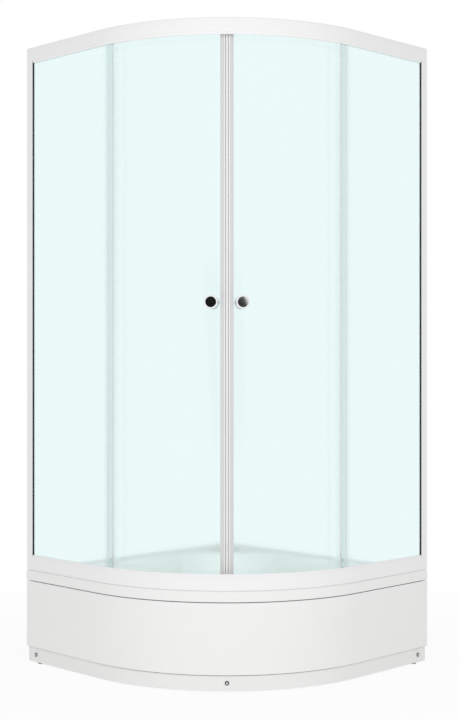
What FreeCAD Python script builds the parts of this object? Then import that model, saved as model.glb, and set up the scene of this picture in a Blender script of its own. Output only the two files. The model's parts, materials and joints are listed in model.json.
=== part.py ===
import FreeCAD, Part
import math
import os

import Sketcher
from FreeCAD import Placement, Rotation, Vector

# Corner shower enclosure with a quarter round front and two curved sliding doors.
# Millimetres and degrees, +Z up. The origin is on the floor under the middle of the square plan.
# The walls are the planes x = -side/2 and y = +side/2, so the round front faces +x and -y.
# "Set" is a distance inwards from the tray's outer edge. "Reach" is a distance from the wall corner
# along the diagonal, and "spread" a distance sideways from that diagonal.

SIZES = {
    # plan and height of the whole
    "tray_side": 900,
    "corner_radius": 550,
    "overall_height": 1950,
    # tray
    "tray_height": 296,
    "rim_depth": 31.5,
    "tray_wall": 5,
    "front_ledge": 78,
    "wall_ledge": 60,
    "basin_level": 121,
    "basin_corner": 40,
    "basin_floor_round": 20,
    "basin_edge_round": 9,
    "rim_round": 4,
    "seat_reach": 245,
    "soap_dish_reach": 172,
    "soap_dish_radius": 50,
    "soap_dish_depth": 7,
    # apron and kickboard
    "apron_set": 1,
    "apron_wall": 4,
    "apron_tuck": 20,
    "tuck_room": 8,
    "apron_shelf": 5,
    "shadow_gap": 3,
    "kick_set": 10,
    "kick_wall": 4,
    "kick_height": 48,
    "kick_tuck": 14,
    "floor_gap": 6,
    "screw_height": 30,
    "screw_radius": 2,
    "screw_head_radius": 4.6,
    "screw_head_depth": 2.6,
    "screw_length": 12,
    "cup_radius": 6.4,
    "cup_depth": 1.6,
    # support bars, legs and brackets
    "bar_side": 25,
    "bar_wall": 2,
    "bar_spread": 170,
    "bar_back_reach": 300,
    "bar_front_inset": 145,
    "bar_end": 18,
    "front_bar_step": 55,
    "foot_wall_inset": 39,
    "foot_front_inset": 36,
    "stud_radius": 6,
    "stud_grip": 14,
    "stud_seat": 7,
    "nut_corner_radius": 10.5,
    "nut_height": 8,
    "foot_radius": 17,
    "foot_edge": 5,
    "foot_neck_radius": 11,
    "foot_height": 14,
    "bracket_width": 32,
    "bracket_wall": 3,
    "bracket_inner": 26,
    # waste
    "waste_reach": 430,
    "waste_radius": 45,
    "waste_rim": 12,
    "waste_rim_depth": 3,
    "waste_tube_wall": 4,
    "waste_tube_depth": 26,
    "waste_gasket_depth": 3,
    "trap_wall": 3,
    "trap_flange_depth": 5,
    "trap_depth": 82,
    "trap_radius": 55,
    "outlet_radius": 20,
    "outlet_wall": 2.5,
    "outlet_length": 75,
    "outlet_collar": 12,
    "outlet_collar_radius": 26,
    "outlet_height": 60,
    "cover_rim": 5,
    "cover_rise": 6,
    "cover_edge": 2,
    "cover_skirt": 8,
    "cover_skirt_wall": 2,
    "slot_radius": 26,
    "slot_width": 6,
    "slot_length": 22,
    # rails and wall profiles
    "rail_set": 2,
    "rail_height": 42,
    "rail_wall": 1.6,
    "glass_pocket": 8,
    "pocket_depth": 18,
    "track_lift": 8,
    "track_room": 23,
    "track_lip": 4,
    "profile_width": 28,
    "fixing_radius": 2.75,
    "fixing_end_inset": 85,
    "fixing_inner_spacing": 500,
    # fixed glass, gaskets and seals
    "glass_wall": 4,
    "glass_wall_inset": 18,
    "glass_overlap": 42,
    "gasket_floor": 2,
    "gasket_grip": 16,
    "gasket_lip": 3,
    "gasket_lip_rise": 1.2,
    "gasket_wall_inset": 4,
    "seal_wall": 1.5,
    "seal_clip": 18,
    "seal_back": 24,
    "seal_nose": 3,
    "seal_fin": 2,
    "seal_reach": 31,
    "key_length": 24,
    "key_width": 12,
    "key_wall_inset": 3,
    "key_screw_radius": 1.75,
    "key_screw_head_radius": 3.6,
    "key_screw_head_depth": 2.2,
    "key_screw_length": 7,
    # doors
    "door_gap": 9.6,
    "door_floor_gap": 4,
    "door_lead": 10.5,
    "trail_reach": 22.8,
    "rear_roller_angle": 12,
    "front_roller_angle": 36,
    "roller_hole_radius": 7,
    "magnet_gap": 0.4,
    "magnet_strip": 2.4,
    "magnet_groove": 1.6,
    "magnet_groove_depth": 5,
    "magnet_width": 8.2,
    "magnet_depth": 13,
    "magnet_clip": 19.5,
    "rear_fin_reach": 24,
    # rollers
    "wheel_radius": 11,
    "wheel_width": 5,
    "wheel_chamfer": 0.8,
    "axle_radius": 3,
    "axle_stem_radius": 5.9,
    "axle_stem_grip": 8,
    "axle_collar_radius": 9,
    "axle_collar_depth": 3,
    "axle_spacer_radius": 4.4,
    "axle_head_radius": 4.6,
    "axle_head_depth": 1.4,
    "hanger_radius": 11,
    "guide_radius": 11,
    "hanger_depth": 12,
    "hanger_chamfer": 2,
    "stop_length": 14,
    "stop_height": 15,
    "open_stop_wall_inset": 166,
    # knobs
    "knob_angle": 40,
    "knob_height": 1130,
    "knob_flange_radius": 19.5,
    "knob_flange_depth": 3.5,
    "knob_neck_radius": 10,
    "knob_neck_end": 15,
    "knob_head_radius": 20,
    "knob_head_start": 24,
    "knob_face_radius": 17.4,
    "knob_depth": 37,
    "knob_hole_radius": 5,
    "knob_bolt_radius": 2.5,
    "knob_bolt_grip": 11,
    "knob_washer_radius": 15,
    "knob_washer_depth": 1,
    # clearances
    "fit_gap": 0.3,
    "run_gap": 0.05,
    "curve_gap": 0.5,
    "overrun": 2,
}
DIAGONAL_SHARE = math.sqrt(0.5)
HALF_SHARE = 0.5
COVER_SLOTS = 6
FULL_TURN = 360


class Size:
    """A number worked out from the sheet, with the expression that follows the sheet's cells."""

    def __init__(self, value, text):
        self.value = value
        self.text = text

    def join(self, sign, other, value):
        return Size(value, f"({self.text} {sign} {other.text})")

    def __add__(self, other):
        other = as_size(other)
        return self.join("+", other, self.value + other.value)

    def __sub__(self, other):
        other = as_size(other)
        return self.join("-", other, self.value - other.value)

    def __mul__(self, other):
        other = as_size(other)
        return self.join("*", other, self.value * other.value)

    def __truediv__(self, other):
        other = as_size(other)
        return self.join("/", other, self.value / other.value)

    def __neg__(self):
        return Size(-self.value, f"(0 - {self.text})")


class Cells:
    """The sheet's cells by alias, each as a Size."""

    def __getattr__(self, alias):
        return Size(float(SIZES[alias]), f"Sheet.{alias}")


def as_size(thing):
    return thing if isinstance(thing, Size) else Size(float(thing), repr(float(thing)))


def cosine(angle):
    return Size(math.cos(math.radians(angle.value)), f"cos({angle.text})")


def sine(angle):
    return Size(math.sin(math.radians(angle.value)), f"sin({angle.text})")


def arcsine(share):
    """The angle in degrees as a plain number: the arcsine's share of a right angle's."""
    return Size(math.degrees(math.asin(share.value)), f"(asin({share.text}) / asin(1) * 90)")


def root(square):
    return Size(math.sqrt(square.value), f"sqrt({square.text})")


doc = FreeCAD.newDocument("CornerShower")
nodes = {}
dims = Cells()
ZERO = as_size(0)
HALF_TURN = as_size(180)
DIAGONAL_TURN = as_size(-45)


def fill_sheet():
    """Each driving dimension in its own cell, with its name as alias."""
    sheet = doc.addObject("Spreadsheet::Sheet", "Sheet")
    for row, (alias, value) in enumerate(SIZES.items(), 1):
        sheet.set(f"A{row}", alias)
        sheet.set(f"B{row}", str(value))
        sheet.setAlias(f"B{row}", alias)
    doc.recompute()


# Places that many pieces share
half = dims.tray_side / 2
centre_x = half - dims.corner_radius
centre_y = dims.corner_radius - half
rim_bottom = dims.tray_height - dims.rim_depth
apron_bottom = dims.floor_gap + dims.kick_height
apron_top = rim_bottom - dims.shadow_gap
basin_floor = dims.basin_level
basin_under = basin_floor - dims.tray_wall
long_bar_low = basin_under - dims.bar_side
cross_bar_low = long_bar_low - dims.bar_side
low_rail_top = dims.tray_height + dims.rail_height
top_rail_low = dims.overall_height - dims.rail_height
rail_mirror = dims.tray_height + dims.overall_height
face_back = dims.rail_set + dims.rail_wall
fin_front = face_back + dims.glass_pocket
fin_back = fin_front + dims.rail_wall
track_end = fin_back + dims.track_room
rail_back = track_end + dims.rail_wall
wheel_set = fin_back + dims.track_room / 2
glass_front = face_back + (dims.glass_pocket - dims.glass_wall) / 2
glass_back = glass_front + dims.glass_wall
track_top = top_rail_low + dims.track_lift + dims.rail_wall
top_wheel_z = track_top + dims.fit_gap + dims.wheel_radius
low_wheel_z = rail_mirror - top_wheel_z
door_outer = dims.corner_radius - (rail_back + dims.door_gap)
door_inner = door_outer - dims.glass_wall
trail_angle = arcsine(dims.trail_reach / door_outer)
door_low = dims.tray_height + dims.door_floor_gap
door_high = rail_mirror - door_low
fixed_low = low_rail_top - dims.pocket_depth + dims.gasket_floor
fixed_high = rail_mirror - fixed_low
foot_x = half - dims.foot_front_inset
foot_y = half - dims.foot_wall_inset
bracket_middle = foot_y
front_reach = (dims.tray_side - dims.corner_radius) / DIAGONAL_SHARE + dims.corner_radius
bar_front = front_reach - dims.bar_front_inset


def add(kind, name):
    return doc.addObject(kind, name)


def place(item, x, y, z, turn=None):
    """Moves an object to a point, turned about the upright axis, and binds both to the sheet."""
    angle = turn or ZERO
    item.Placement = Placement(Vector(x.value, y.value, z.value), Rotation(Vector(0, 0, 1), angle.value))
    for axis, value in zip("xyz", (x, y, z)):
        item.setExpression(f"Placement.Base.{axis}", value.text)
    if turn:
        item.setExpression("Placement.Rotation.Angle", turn.text)
    return item


def place_at_arc(item, z, turn):
    """Puts an object's origin on the front's arc centre, its X axis out along the turned radius."""
    return place(item, centre_x, centre_y, z, turn)


def from_corner(reach, spread):
    """Row x and y of a point given along the diagonal from the wall corner and sideways from it."""
    x = (reach + spread) * DIAGONAL_SHARE - half
    y = half + (spread - reach) * DIAGONAL_SHARE
    return x, y


def finish(label, item):
    item.Label = label
    nodes[label] = item
    return item


def origin_plane(body, role):
    return next(f for f in body.Origin.OriginFeatures if f.Role == role)


def arc_between(first, last, radius, turn):
    """The short arc from first to last, anticlockwise where turn is 1 and clockwise where it is -1."""
    chord = last - first
    middle = (first + last) * HALF_SHARE
    side = Vector(-chord.y, chord.x, 0).normalize()
    rise = math.sqrt(radius**2 - (chord.Length * HALF_SHARE) ** 2)
    centre = middle + side * (rise * turn)
    ends = (first, last) if turn > 0 else (last, first)
    angles = [math.atan2(p.y - centre.y, p.x - centre.x) for p in ends]
    return Part.ArcOfCircle(Part.Circle(centre, Vector(0, 0, 1), radius), *angles)


def outline(body, name, points, bends=None, plane="XY_Plane", level=None):
    """A closed sketch through the points. bends maps a point's index to the radius and the turn of
    the arc that leaves it. Every point and radius is bound to the sheet."""
    bends = bends or {}
    sketch = body.newObject("Sketcher::SketchObject", name)
    sketch.AttachmentSupport = [(origin_plane(body, plane), "")]
    sketch.MapMode = "FlatFace"
    if level:
        sketch.setExpression("AttachmentOffset.Base.z", level.text)
    spots = [Vector(x.value, y.value, 0) for x, y in points]
    ends = []
    for i, spot in enumerate(spots):
        following = spots[(i + 1) % len(spots)]
        if i in bends:
            radius, turn = bends[i]
            sketch.addGeometry(arc_between(spot, following, radius.value, turn))
            ends.append((1, 2) if turn > 0 else (2, 1))
        else:
            sketch.addGeometry(Part.LineSegment(spot, following))
            ends.append((1, 2))
    for i, (x, y) in enumerate(points):
        after = (i + 1) % len(points)
        sketch.addConstraint(Sketcher.Constraint("Coincident", i, ends[i][1], after, ends[after][0]))
        for kind, value in (("DistanceX", x), ("DistanceY", y)):
            bound = Sketcher.Constraint(kind, -1, 1, i, ends[i][0], value.value)
            sketch.setExpression(f"Constraints[{sketch.addConstraint(bound)}]", value.text)
    for i, (radius, turn) in bends.items():
        bound = Sketcher.Constraint("Radius", i, radius.value)
        sketch.setExpression(f"Constraints[{sketch.addConstraint(bound)}]", radius.text)
    return sketch


def extrude(body, kind, sketch, length, backwards=False):
    """A pad or pocket of a sketch, as long as the size says."""
    feature = body.newObject(f"PartDesign::{kind}", kind)
    feature.Profile = sketch
    feature.Length = length.value
    feature.Reversed = backwards
    feature.setExpression("Length", length.text)
    return feature


def prism(name, points, low, high, bends=None):
    """An upright solid on the outline, from one height to another."""
    body = add("PartDesign::Body", name)
    extrude(body, "Pad", outline(body, f"{name}_outline", points, bends, level=low), high - low)
    return body


def turned(name, points, upright=False):
    """A solid of revolution about its own X axis, or about Z where it is upright."""
    body = add("PartDesign::Body", name)
    sketch = outline(body, f"{name}_outline", points, plane="XZ_Plane")
    feature = body.newObject("PartDesign::Revolution", "Turn")
    feature.Profile = sketch
    feature.ReferenceAxis = (sketch, ["V_Axis" if upright else "H_Axis"])
    feature.Angle = FULL_TURN
    return body


def stepped(name, steps):
    """A turned pin about X from steps of (start, end, radius), each step beginning where the last ended."""
    points = [(steps[0][0], ZERO)]
    for start, end, radius in steps:
        points += [(start, radius), (end, radius)]
    return turned(name, points + [(steps[-1][1], ZERO)])


def block(name, low, high):
    """A box between two corners of named places."""
    box = add("Part::Box", name)
    for side, a, b in zip(("Length", "Width", "Height"), low, high):
        box.setExpression(side, (b - a).text)
    return place(box, *low)


def rod(name, radius, low, high):
    """An upright cylinder on the origin, from one height to another."""
    pin = add("Part::Cylinder", name)
    pin.setExpression("Radius", radius.text)
    pin.setExpression("Height", (high - low).text)
    return place(pin, ZERO, ZERO, low)


def less(name, base, tools):
    """The base with every tool cut away from it."""
    for i, tool in enumerate(tools):
        cut = add("Part::Cut", f"{name}_cut_{i}")
        cut.Base = base
        cut.Tool = tool
        base = cut
    return base


def joined(name, base, tool):
    fuse = add("Part::Fuse", name)
    fuse.Base = base
    fuse.Tool = tool
    return fuse


def group(name, members):
    bundle = add("Part::Compound", name)
    bundle.Links = members
    return bundle


def mirrored(name, source):
    """The same piece on the other side of the diagonal."""
    copy = add("Part::Mirroring", name)
    copy.Source = source
    copy.Base = Vector(0, 0, 0)
    copy.Normal = Vector(1, 1, 0)
    return copy


def both_sides(piece, source):
    """A right piece and its left mirror image, each in its own node."""
    finish(f"right_{piece}", source)
    finish(f"left_{piece}", mirrored(f"left_{piece}", source))


def edges_where(shape, wanted):
    return [f"Edge{i}" for i, edge in enumerate(shape.Edges, 1) if wanted(edge)]


def band_points(near, far, inset):
    """The strip between two sets, from the right wall round the front to the left wall.
    inset keeps its ends off the walls."""
    out, back, end = half - near, half - far, half - inset
    points = [
        (out, end),
        (out, centre_y),
        (centre_x, -out),
        (-end, -out),
        (-end, -back),
        (centre_x, -back),
        (back, centre_y),
        (back, end),
    ]
    return points, {1: (dims.corner_radius - near, -1), 5: (dims.corner_radius - far, 1)}


def band(body, name, near, far, low, high, inset=ZERO):
    """Adds that strip to a body, from one height to another."""
    points, bends = band_points(near, far, inset)
    return extrude(body, "Pad", outline(body, name, points, bends, level=low), high - low)


def plan_points(front, wall):
    """The whole plan, set in from the front edge and from the walls."""
    out, back = half - front, half - wall
    points = [(out, back), (out, centre_y), (centre_x, -out), (-back, -out), (-back, back)]
    return points, {1: (dims.corner_radius - front, -1)}


def basin_points(grow):
    """The basin's plan, which the corner seat cuts off at the back. grow widens it by a wall."""
    out = half - dims.front_ledge + grow
    back = half - dims.wall_ledge + grow
    cut = (dims.seat_reach - grow) * 2 * DIAGONAL_SHARE - half * 2 + back
    points = [
        (out, back),
        (out, centre_y),
        (centre_x, -out),
        (-back, -out),
        (-back, -cut),
        (cut, back),
    ]
    return points, {1: (dims.corner_radius - dims.front_ledge + grow, -1)}


def make_tray():
    """A thin shell: a rim that turns down all round, and a basin with a seat, a dish and a waste hole."""
    body = add("PartDesign::Body", "tray")
    wall = dims.tray_wall
    points, bends = plan_points(ZERO, ZERO)
    extrude(body, "Pad", outline(body, "rim", points, bends, level=rim_bottom), dims.rim_depth)
    points, bends = plan_points(wall, wall)
    hollow = outline(body, "rim_hollow", points, bends, level=rim_bottom)
    extrude(body, "Pocket", hollow, dims.rim_depth - wall, backwards=True)
    points, bends = basin_points(wall)
    tub = outline(body, "tub", points, bends, level=basin_under)
    extrude(body, "Pad", tub, dims.tray_height - basin_under - wall * HALF_SHARE)
    points, bends = basin_points(ZERO)
    basin = outline(body, "basin", points, bends, level=dims.tray_height)
    extrude(body, "Pocket", basin, dims.tray_height - basin_floor)
    doc.recompute()
    floor_z, rim_z = basin_floor.value, dims.tray_height.value
    round_edges(body, dims.basin_corner, lambda e: stands_between(e, floor_z, rim_z))
    round_edges(body, dims.basin_floor_round, lambda e: flat_at(e, floor_z))
    round_edges(body, dims.basin_edge_round, lambda e: flat_at(e, rim_z) and inside_rim(e))
    round_edges(body, dims.rim_round, lambda e: flat_at(e, rim_z) and not inside_rim(e))
    spot = from_corner(dims.soap_dish_reach, ZERO)
    dish_low = dims.tray_height - dims.soap_dish_depth
    dish = rod("soap_dish", dims.soap_dish_radius, dish_low, dims.tray_height + dims.overrun)
    place(dish, *spot, dish_low)
    under = rod("soap_dish_shell", dims.soap_dish_radius + wall, dish_low - wall, dims.tray_height - wall / 2)
    place(under, *spot, dish_low - wall)
    hole = rod("waste_hole", dims.waste_radius, ZERO, dims.tray_wall + dims.overrun * 2)
    waste_x, waste_y = from_corner(dims.waste_reach, ZERO)
    place(hole, waste_x, waste_y, basin_under - dims.overrun)
    finish("shower_tray", less("shower_tray", joined("tray_shell", body, under), [dish, hole]))


def flat_at(edge, z):
    """Whether an edge lies in the level plane at z."""
    box = edge.BoundBox
    return max(abs(box.ZMin - z), abs(box.ZMax - z)) < SIZES["run_gap"]


def stands_between(edge, low, high):
    """Whether an edge stands upright from one height to the other."""
    box = edge.BoundBox
    upright = max(box.XLength, box.YLength) < SIZES["run_gap"]
    return upright and abs(box.ZMin - low) < SIZES["run_gap"] and abs(box.ZMax - high) < SIZES["run_gap"]


def inside_rim(edge):
    """Whether an edge's middle lies clear of the tray's outer edge, so that it belongs to the basin."""
    spot = edge.valueAt((edge.FirstParameter + edge.LastParameter) * HALF_SHARE)
    side = half.value - SIZES["tray_wall"]
    off_arc = math.hypot(spot.x - centre_x.value, spot.y - centre_y.value)
    on_arc = spot.x > centre_x.value and spot.y < centre_y.value
    clear_of_arc = not on_arc or off_arc < dims.corner_radius.value - SIZES["tray_wall"]
    return max(abs(spot.x), abs(spot.y)) < side and clear_of_arc


def round_edges(body, radius, wanted):
    """Fillets the edges of the body so far that the test picks."""
    base = body.Tip
    fillet = body.newObject("PartDesign::Fillet", "Round")
    fillet.Base = (base, edges_where(base.Shape, wanted))
    fillet.setExpression("Radius", radius.text)
    doc.recompute()
    return fillet


def make_apron():
    """The skirt: its face, the step behind the shadow gap and the edge that tucks up behind the rim."""
    body = add("PartDesign::Body", "apron")
    face_in = dims.apron_set + dims.apron_wall
    tuck = dims.tray_wall + dims.fit_gap + dims.tuck_room
    tuck_in = tuck + dims.apron_wall
    band(body, "face", dims.apron_set, face_in, apron_bottom, apron_top)
    band(body, "top_shelf", dims.apron_set, tuck_in, apron_top - dims.apron_shelf, apron_top)
    tuck_high = rim_bottom + dims.apron_tuck
    band(body, "tuck", tuck, tuck_in, apron_top - dims.apron_shelf, tuck_high, inset=tuck)
    low_shelf = dims.kick_set - dims.fit_gap
    band(body, "low_shelf", dims.apron_set, low_shelf, apron_bottom, apron_bottom + dims.apron_wall)
    finish("tray_apron", body)


def kick_round(name, steps, z):
    """A turned piece at each of the kickboard's three screws, from steps measured from its face."""
    edge = half - dims.kick_set
    side = stepped(f"{name}_side", [(edge + a, edge + b, r) for a, b, r in steps])
    place(side, ZERO, bracket_middle, z)
    face = dims.corner_radius - dims.kick_set
    front = stepped(f"{name}_front", [(face + a, face + b, r) for a, b, r in steps])
    place_at_arc(front, z, DIAGONAL_TURN)
    return [side, mirrored(f"{name}_other", side), front]


def make_kickboard():
    """The set back strip above the floor, with its screws and their cup washers."""
    body = add("PartDesign::Body", "kick")
    kick_back = dims.kick_set + dims.kick_wall
    band(body, "strip", dims.kick_set, kick_back, dims.floor_gap, apron_bottom + dims.kick_tuck)
    z = dims.screw_height
    over = dims.overrun
    bore = dims.screw_radius + dims.fit_gap
    holes = kick_round("kick_hole", [(-dims.kick_wall - over, over, bore)], z)
    finish("kickboard", less("kickboard", body, holes))
    cup_end = dims.curve_gap + dims.cup_depth
    cup_hole = kick_round("cup_hole", [(-over, cup_end + over, bore)], z)
    cups = kick_round("cup", [(dims.curve_gap * HALF_SHARE, cup_end, dims.cup_radius)], z)
    rings = [less(f"cup_{i}", cup, [hole]) for i, (cup, hole) in enumerate(zip(cups, cup_hole))]
    finish("screw_cups", group("screw_cups", rings))
    shank = (cup_end - dims.screw_length, cup_end, dims.screw_radius)
    head = (cup_end, cup_end + dims.screw_head_depth, dims.screw_head_radius)
    finish("kickboard_screws", group("kickboard_screws", kick_round("kick_screw", [shank, head], z)))


def bracket(name, inner, outer, top, screw):
    """An angle: a level strip below a bar, and a tab behind the kickboard with a screw hole."""
    body = add("PartDesign::Body", name)
    low = dims.floor_gap * 2
    wall = dims.bracket_wall
    points = [
        (inner, top - wall),
        (outer - wall, top - wall),
        (outer - wall, low),
        (outer, low),
        (outer, top),
        (inner, top),
    ]
    pad = extrude(body, "Pad", outline(body, f"{name}_angle", points, plane="XZ_Plane"), dims.bracket_width)
    pad.Midplane = True
    hole = stepped(f"{name}_hole", [(outer - wall * 2, outer + wall, dims.screw_radius + dims.run_gap)])
    hole.setExpression("Placement.Base.z", screw.text)
    return less(f"{name}_drilled", body, [hole])


def make_brackets():
    """Three angles carry the kickboard: two clamped under the outer feet's bar, one under the front bar."""
    inset = dims.kick_set + dims.kick_wall + dims.curve_gap
    outer = half - inset
    side = bracket("side_bracket", foot_x - dims.bracket_inner, outer, cross_bar_low, dims.screw_height)
    place(side, ZERO, bracket_middle, ZERO)
    stud = rod("bracket_stud", dims.stud_radius + dims.fit_gap, ZERO, cross_bar_low)
    place(stud, foot_x, foot_y, ZERO)
    side = less("side_bracket_final", side, [stud])
    face = dims.corner_radius - inset
    arc_reach = (half * 2 - dims.corner_radius) / DIAGONAL_SHARE
    bar_back = bar_front - dims.front_bar_step - dims.bar_side
    front = bracket("front_bracket", bar_back - arc_reach, face, long_bar_low, dims.screw_height)
    place_at_arc(front, ZERO, DIAGONAL_TURN)
    finish("kickboard_brackets", group("kickboard_brackets", [side, mirrored("other_bracket", side), front]))


def tube_along(name, low, high, hollow_low, hollow_high, leg_places):
    """A square tube in the diagonal's frame, with a hole below for each leg."""
    box = block(name, low, high)
    hollow = block(f"{name}_hollow", hollow_low, hollow_high)
    for piece, corner in ((box, low), (hollow, hollow_low)):
        x, y = from_corner(corner[0], corner[1])
        place(piece, x, y, corner[2], DIAGONAL_TURN)
    holes = []
    for i, (x, y) in enumerate(leg_places):
        hole = rod(f"{name}_leg_{i}", dims.stud_radius + dims.fit_gap, ZERO, dims.bar_wall + dims.overrun)
        holes.append(place(hole, x, y, low[2] - dims.overrun * HALF_SHARE))
    return less(f"{name}_tube", box, [hollow] + holes)


def leg_places():
    """Row x and y of each leg with the height of the bar above it: the outer pair, then back and front."""
    spots = [(foot_x, foot_y, cross_bar_low), (-foot_y, -foot_x, cross_bar_low)]
    for reach in (dims.bar_back_reach + dims.bar_end, bar_front - dims.bar_end):
        for spread in (dims.bar_spread, -dims.bar_spread):
            spots.append((*from_corner(reach, spread), long_bar_low))
    return spots


def make_support():
    """Steel tubes under the basin: two along the diagonal, one across below them, one across in front."""
    wall, side = dims.bar_wall, dims.bar_side
    thick = side / 2
    legs = [place[:2] for place in leg_places()]
    cross_reach = (half * 2 - dims.foot_front_inset + dims.foot_wall_inset) * DIAGONAL_SHARE
    cross_spread = (foot_x + foot_y) * DIAGONAL_SHARE + dims.bar_end
    low = (cross_reach - thick, -cross_spread, cross_bar_low)
    high = (cross_reach + thick, cross_spread, long_bar_low)
    over = dims.overrun
    inner_low = (low[0] + wall, low[1] - over, low[2] + wall)
    inner_high = (high[0] - wall, high[1] + over, high[2] - wall)
    finish("support_cross_bar", tube_along("cross_bar", low, high, inner_low, inner_high, legs[:2]))
    for name, spread, own in (("right", dims.bar_spread, legs[2::2]), ("left", -dims.bar_spread, legs[3::2])):
        low = (dims.bar_back_reach, spread - thick, long_bar_low)
        high = (bar_front, spread + thick, basin_under)
        inner_low = (low[0] - over, low[1] + wall, low[2] + wall)
        inner_high = (high[0] + over, high[1] - wall, high[2] - wall)
        bar = tube_along(f"{name}_bar", low, high, inner_low, inner_high, own)
        finish(f"{name}_support_bar", bar)
    front_end = bar_front - dims.front_bar_step
    reach = dims.bar_spread - thick
    low = (front_end - side, -reach, long_bar_low)
    high = (front_end, reach, basin_under)
    inner_low = (low[0] + wall, low[1] - over, low[2] + wall)
    inner_high = (high[0] - wall, high[1] + over, high[2] - wall)
    finish("front_support_bar", tube_along("front_bar", low, high, inner_low, inner_high, []))


def make_legs():
    """A threaded stud, a nut under the bar and a foot for each leg."""
    studs, nuts, feet = [], [], []
    neck, seat = dims.foot_neck_radius, dims.stud_seat
    bore = dims.stud_radius + dims.run_gap
    foot_outline = [
        (ZERO, ZERO),
        (dims.foot_radius, ZERO),
        (dims.foot_radius, dims.foot_edge),
        (neck, dims.foot_height),
        (bore, dims.foot_height),
        (bore, seat),
        (ZERO, seat),
    ]
    for i, (x, y, bar_low) in enumerate(leg_places()):
        clamp = bar_low - dims.bracket_wall if i < 2 else bar_low
        stud = rod(f"stud_{i}", dims.stud_radius, seat, bar_low + dims.stud_grip)
        studs.append(place(stud, x, y, seat))
        nut = add("Part::Prism", f"nut_{i}")
        nut.Polygon = 6
        nut.setExpression("Circumradius", dims.nut_corner_radius.text)
        nut.setExpression("Height", dims.nut_height.text)
        nut_low = clamp - dims.nut_height
        place(nut, x, y, nut_low)
        bore_cut = rod(f"nut_bore_{i}", bore, ZERO, dims.nut_height + dims.overrun * 2)
        nuts.append(less(f"nut_{i}", nut, [place(bore_cut, x, y, nut_low - dims.overrun)]))
        feet.append(place(turned(f"foot_{i}", foot_outline, upright=True), x, y, ZERO))
    finish("leg_studs", group("leg_studs", studs))
    finish("leg_nuts", group("leg_nuts", nuts))
    finish("leg_feet", group("leg_feet", feet))


def make_waste():
    """The waste: a flange through the tray, a gasket and a trap below it, and the cover that lifts out."""
    x, y = from_corner(dims.waste_reach, ZERO)
    hole = dims.waste_radius - dims.fit_gap
    tube = hole - dims.waste_tube_wall
    rim = dims.waste_radius + dims.waste_rim
    top = basin_floor + dims.waste_rim_depth
    tube_low = top - dims.waste_tube_depth
    flange = [
        (tube, tube_low),
        (hole, tube_low),
        (hole, basin_floor),
        (rim, basin_floor),
        (rim, top),
        (tube, top),
    ]
    finish("waste_flange", place(turned("waste_flange", flange, upright=True), x, y, ZERO))
    under = basin_under - dims.waste_gasket_depth
    neck = dims.waste_radius
    gasket = [(neck, under), (rim, under), (rim, basin_under), (neck, basin_under)]
    finish("waste_gasket", place(turned("waste_gasket", gasket, upright=True), x, y, ZERO))
    seat = under - dims.trap_flange_depth
    low = under - dims.trap_depth
    wall = dims.trap_wall
    inside = dims.trap_radius - wall
    trap = [
        (ZERO, low),
        (dims.trap_radius, low),
        (dims.trap_radius, seat),
        (rim, seat),
        (rim, under),
        (neck, under),
        (neck, seat),
        (inside, seat - wall),
        (inside, low + wall),
        (ZERO, low + wall),
    ]
    pot = place(turned("trap_pot", trap, upright=True), x, y, ZERO)
    start = dims.trap_radius - wall * HALF_SHARE
    end = start + dims.outlet_length
    bore = dims.outlet_radius - dims.outlet_wall
    shoulder = start + dims.outlet_collar
    collar = (start, shoulder, dims.outlet_collar_radius)
    spout = stepped("trap_spout", [collar, (shoulder, end, dims.outlet_radius)])
    channel = stepped("trap_channel", [(inside - wall, end + dims.overrun, bore)])
    for pipe in (spout, channel):
        place(pipe, x, y, dims.outlet_height, HALF_TURN + DIAGONAL_TURN)
    finish("waste_trap", less("waste_trap", joined("trap_shell", pot, spout), [channel]))
    edge = rim - dims.cover_rim
    base = top + dims.fit_gap
    skirt = tube - dims.curve_gap
    skirt_in = skirt - dims.cover_skirt_wall
    crown = base + dims.cover_rise
    cover = [
        (ZERO, crown - dims.cover_edge),
        (skirt_in, base + dims.cover_edge),
        (skirt_in, base - dims.cover_skirt),
        (skirt, base - dims.cover_skirt),
        (skirt, base),
        (edge, base),
        (edge, base + dims.cover_edge),
        (skirt, crown),
        (ZERO, crown),
    ]
    lid = place(turned("cover_disc", cover, upright=True), x, y, ZERO)
    slots = []
    slot_size = (dims.slot_length, dims.slot_width, dims.cover_rise * 3)
    for turn in range(COVER_SLOTS):
        angle = as_size(turn * FULL_TURN / COVER_SLOTS)
        slot = block(f"cover_slot_{turn}", (ZERO, ZERO, ZERO), slot_size)
        along, across = dims.slot_radius - dims.slot_length / 2, dims.slot_width * HALF_SHARE
        slot_x = x + cosine(angle) * along + sine(angle) * across
        slot_y = y + sine(angle) * along - cosine(angle) * across
        slots.append(place(slot, slot_x, slot_y, base - dims.cover_rise, angle))
    finish("drain_cover", less("drain_cover", lid, slots))


def make_rail(label, level):
    """An extrusion open to the inside: face, web, glazing fin and shelf, sole, track flange and track lip.
    level gives the height of a distance measured from the edge beside the glass."""
    body = add("PartDesign::Body", label)
    tall, wall = dims.rail_height, dims.rail_wall
    strips = (
        ("face", dims.rail_set, face_back, ZERO, tall),
        ("web", dims.rail_set, rail_back, tall - wall, tall),
        ("fin", fin_front, fin_back, ZERO, tall),
        ("sole", fin_front, rail_back, ZERO, wall),
        ("shelf", dims.rail_set, fin_back, dims.pocket_depth, dims.pocket_depth + wall),
        ("track", fin_front, rail_back, dims.track_lift, dims.track_lift + wall),
        ("lip", track_end, rail_back, ZERO, dims.track_lift + wall + dims.track_lip),
    )
    for name, near, far, a, b in strips:
        low, high = sorted((level(a), level(b)), key=lambda z: z.value)
        band(body, f"{label}_{name}", near, far, low, high)
    finish(label, body)


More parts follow.
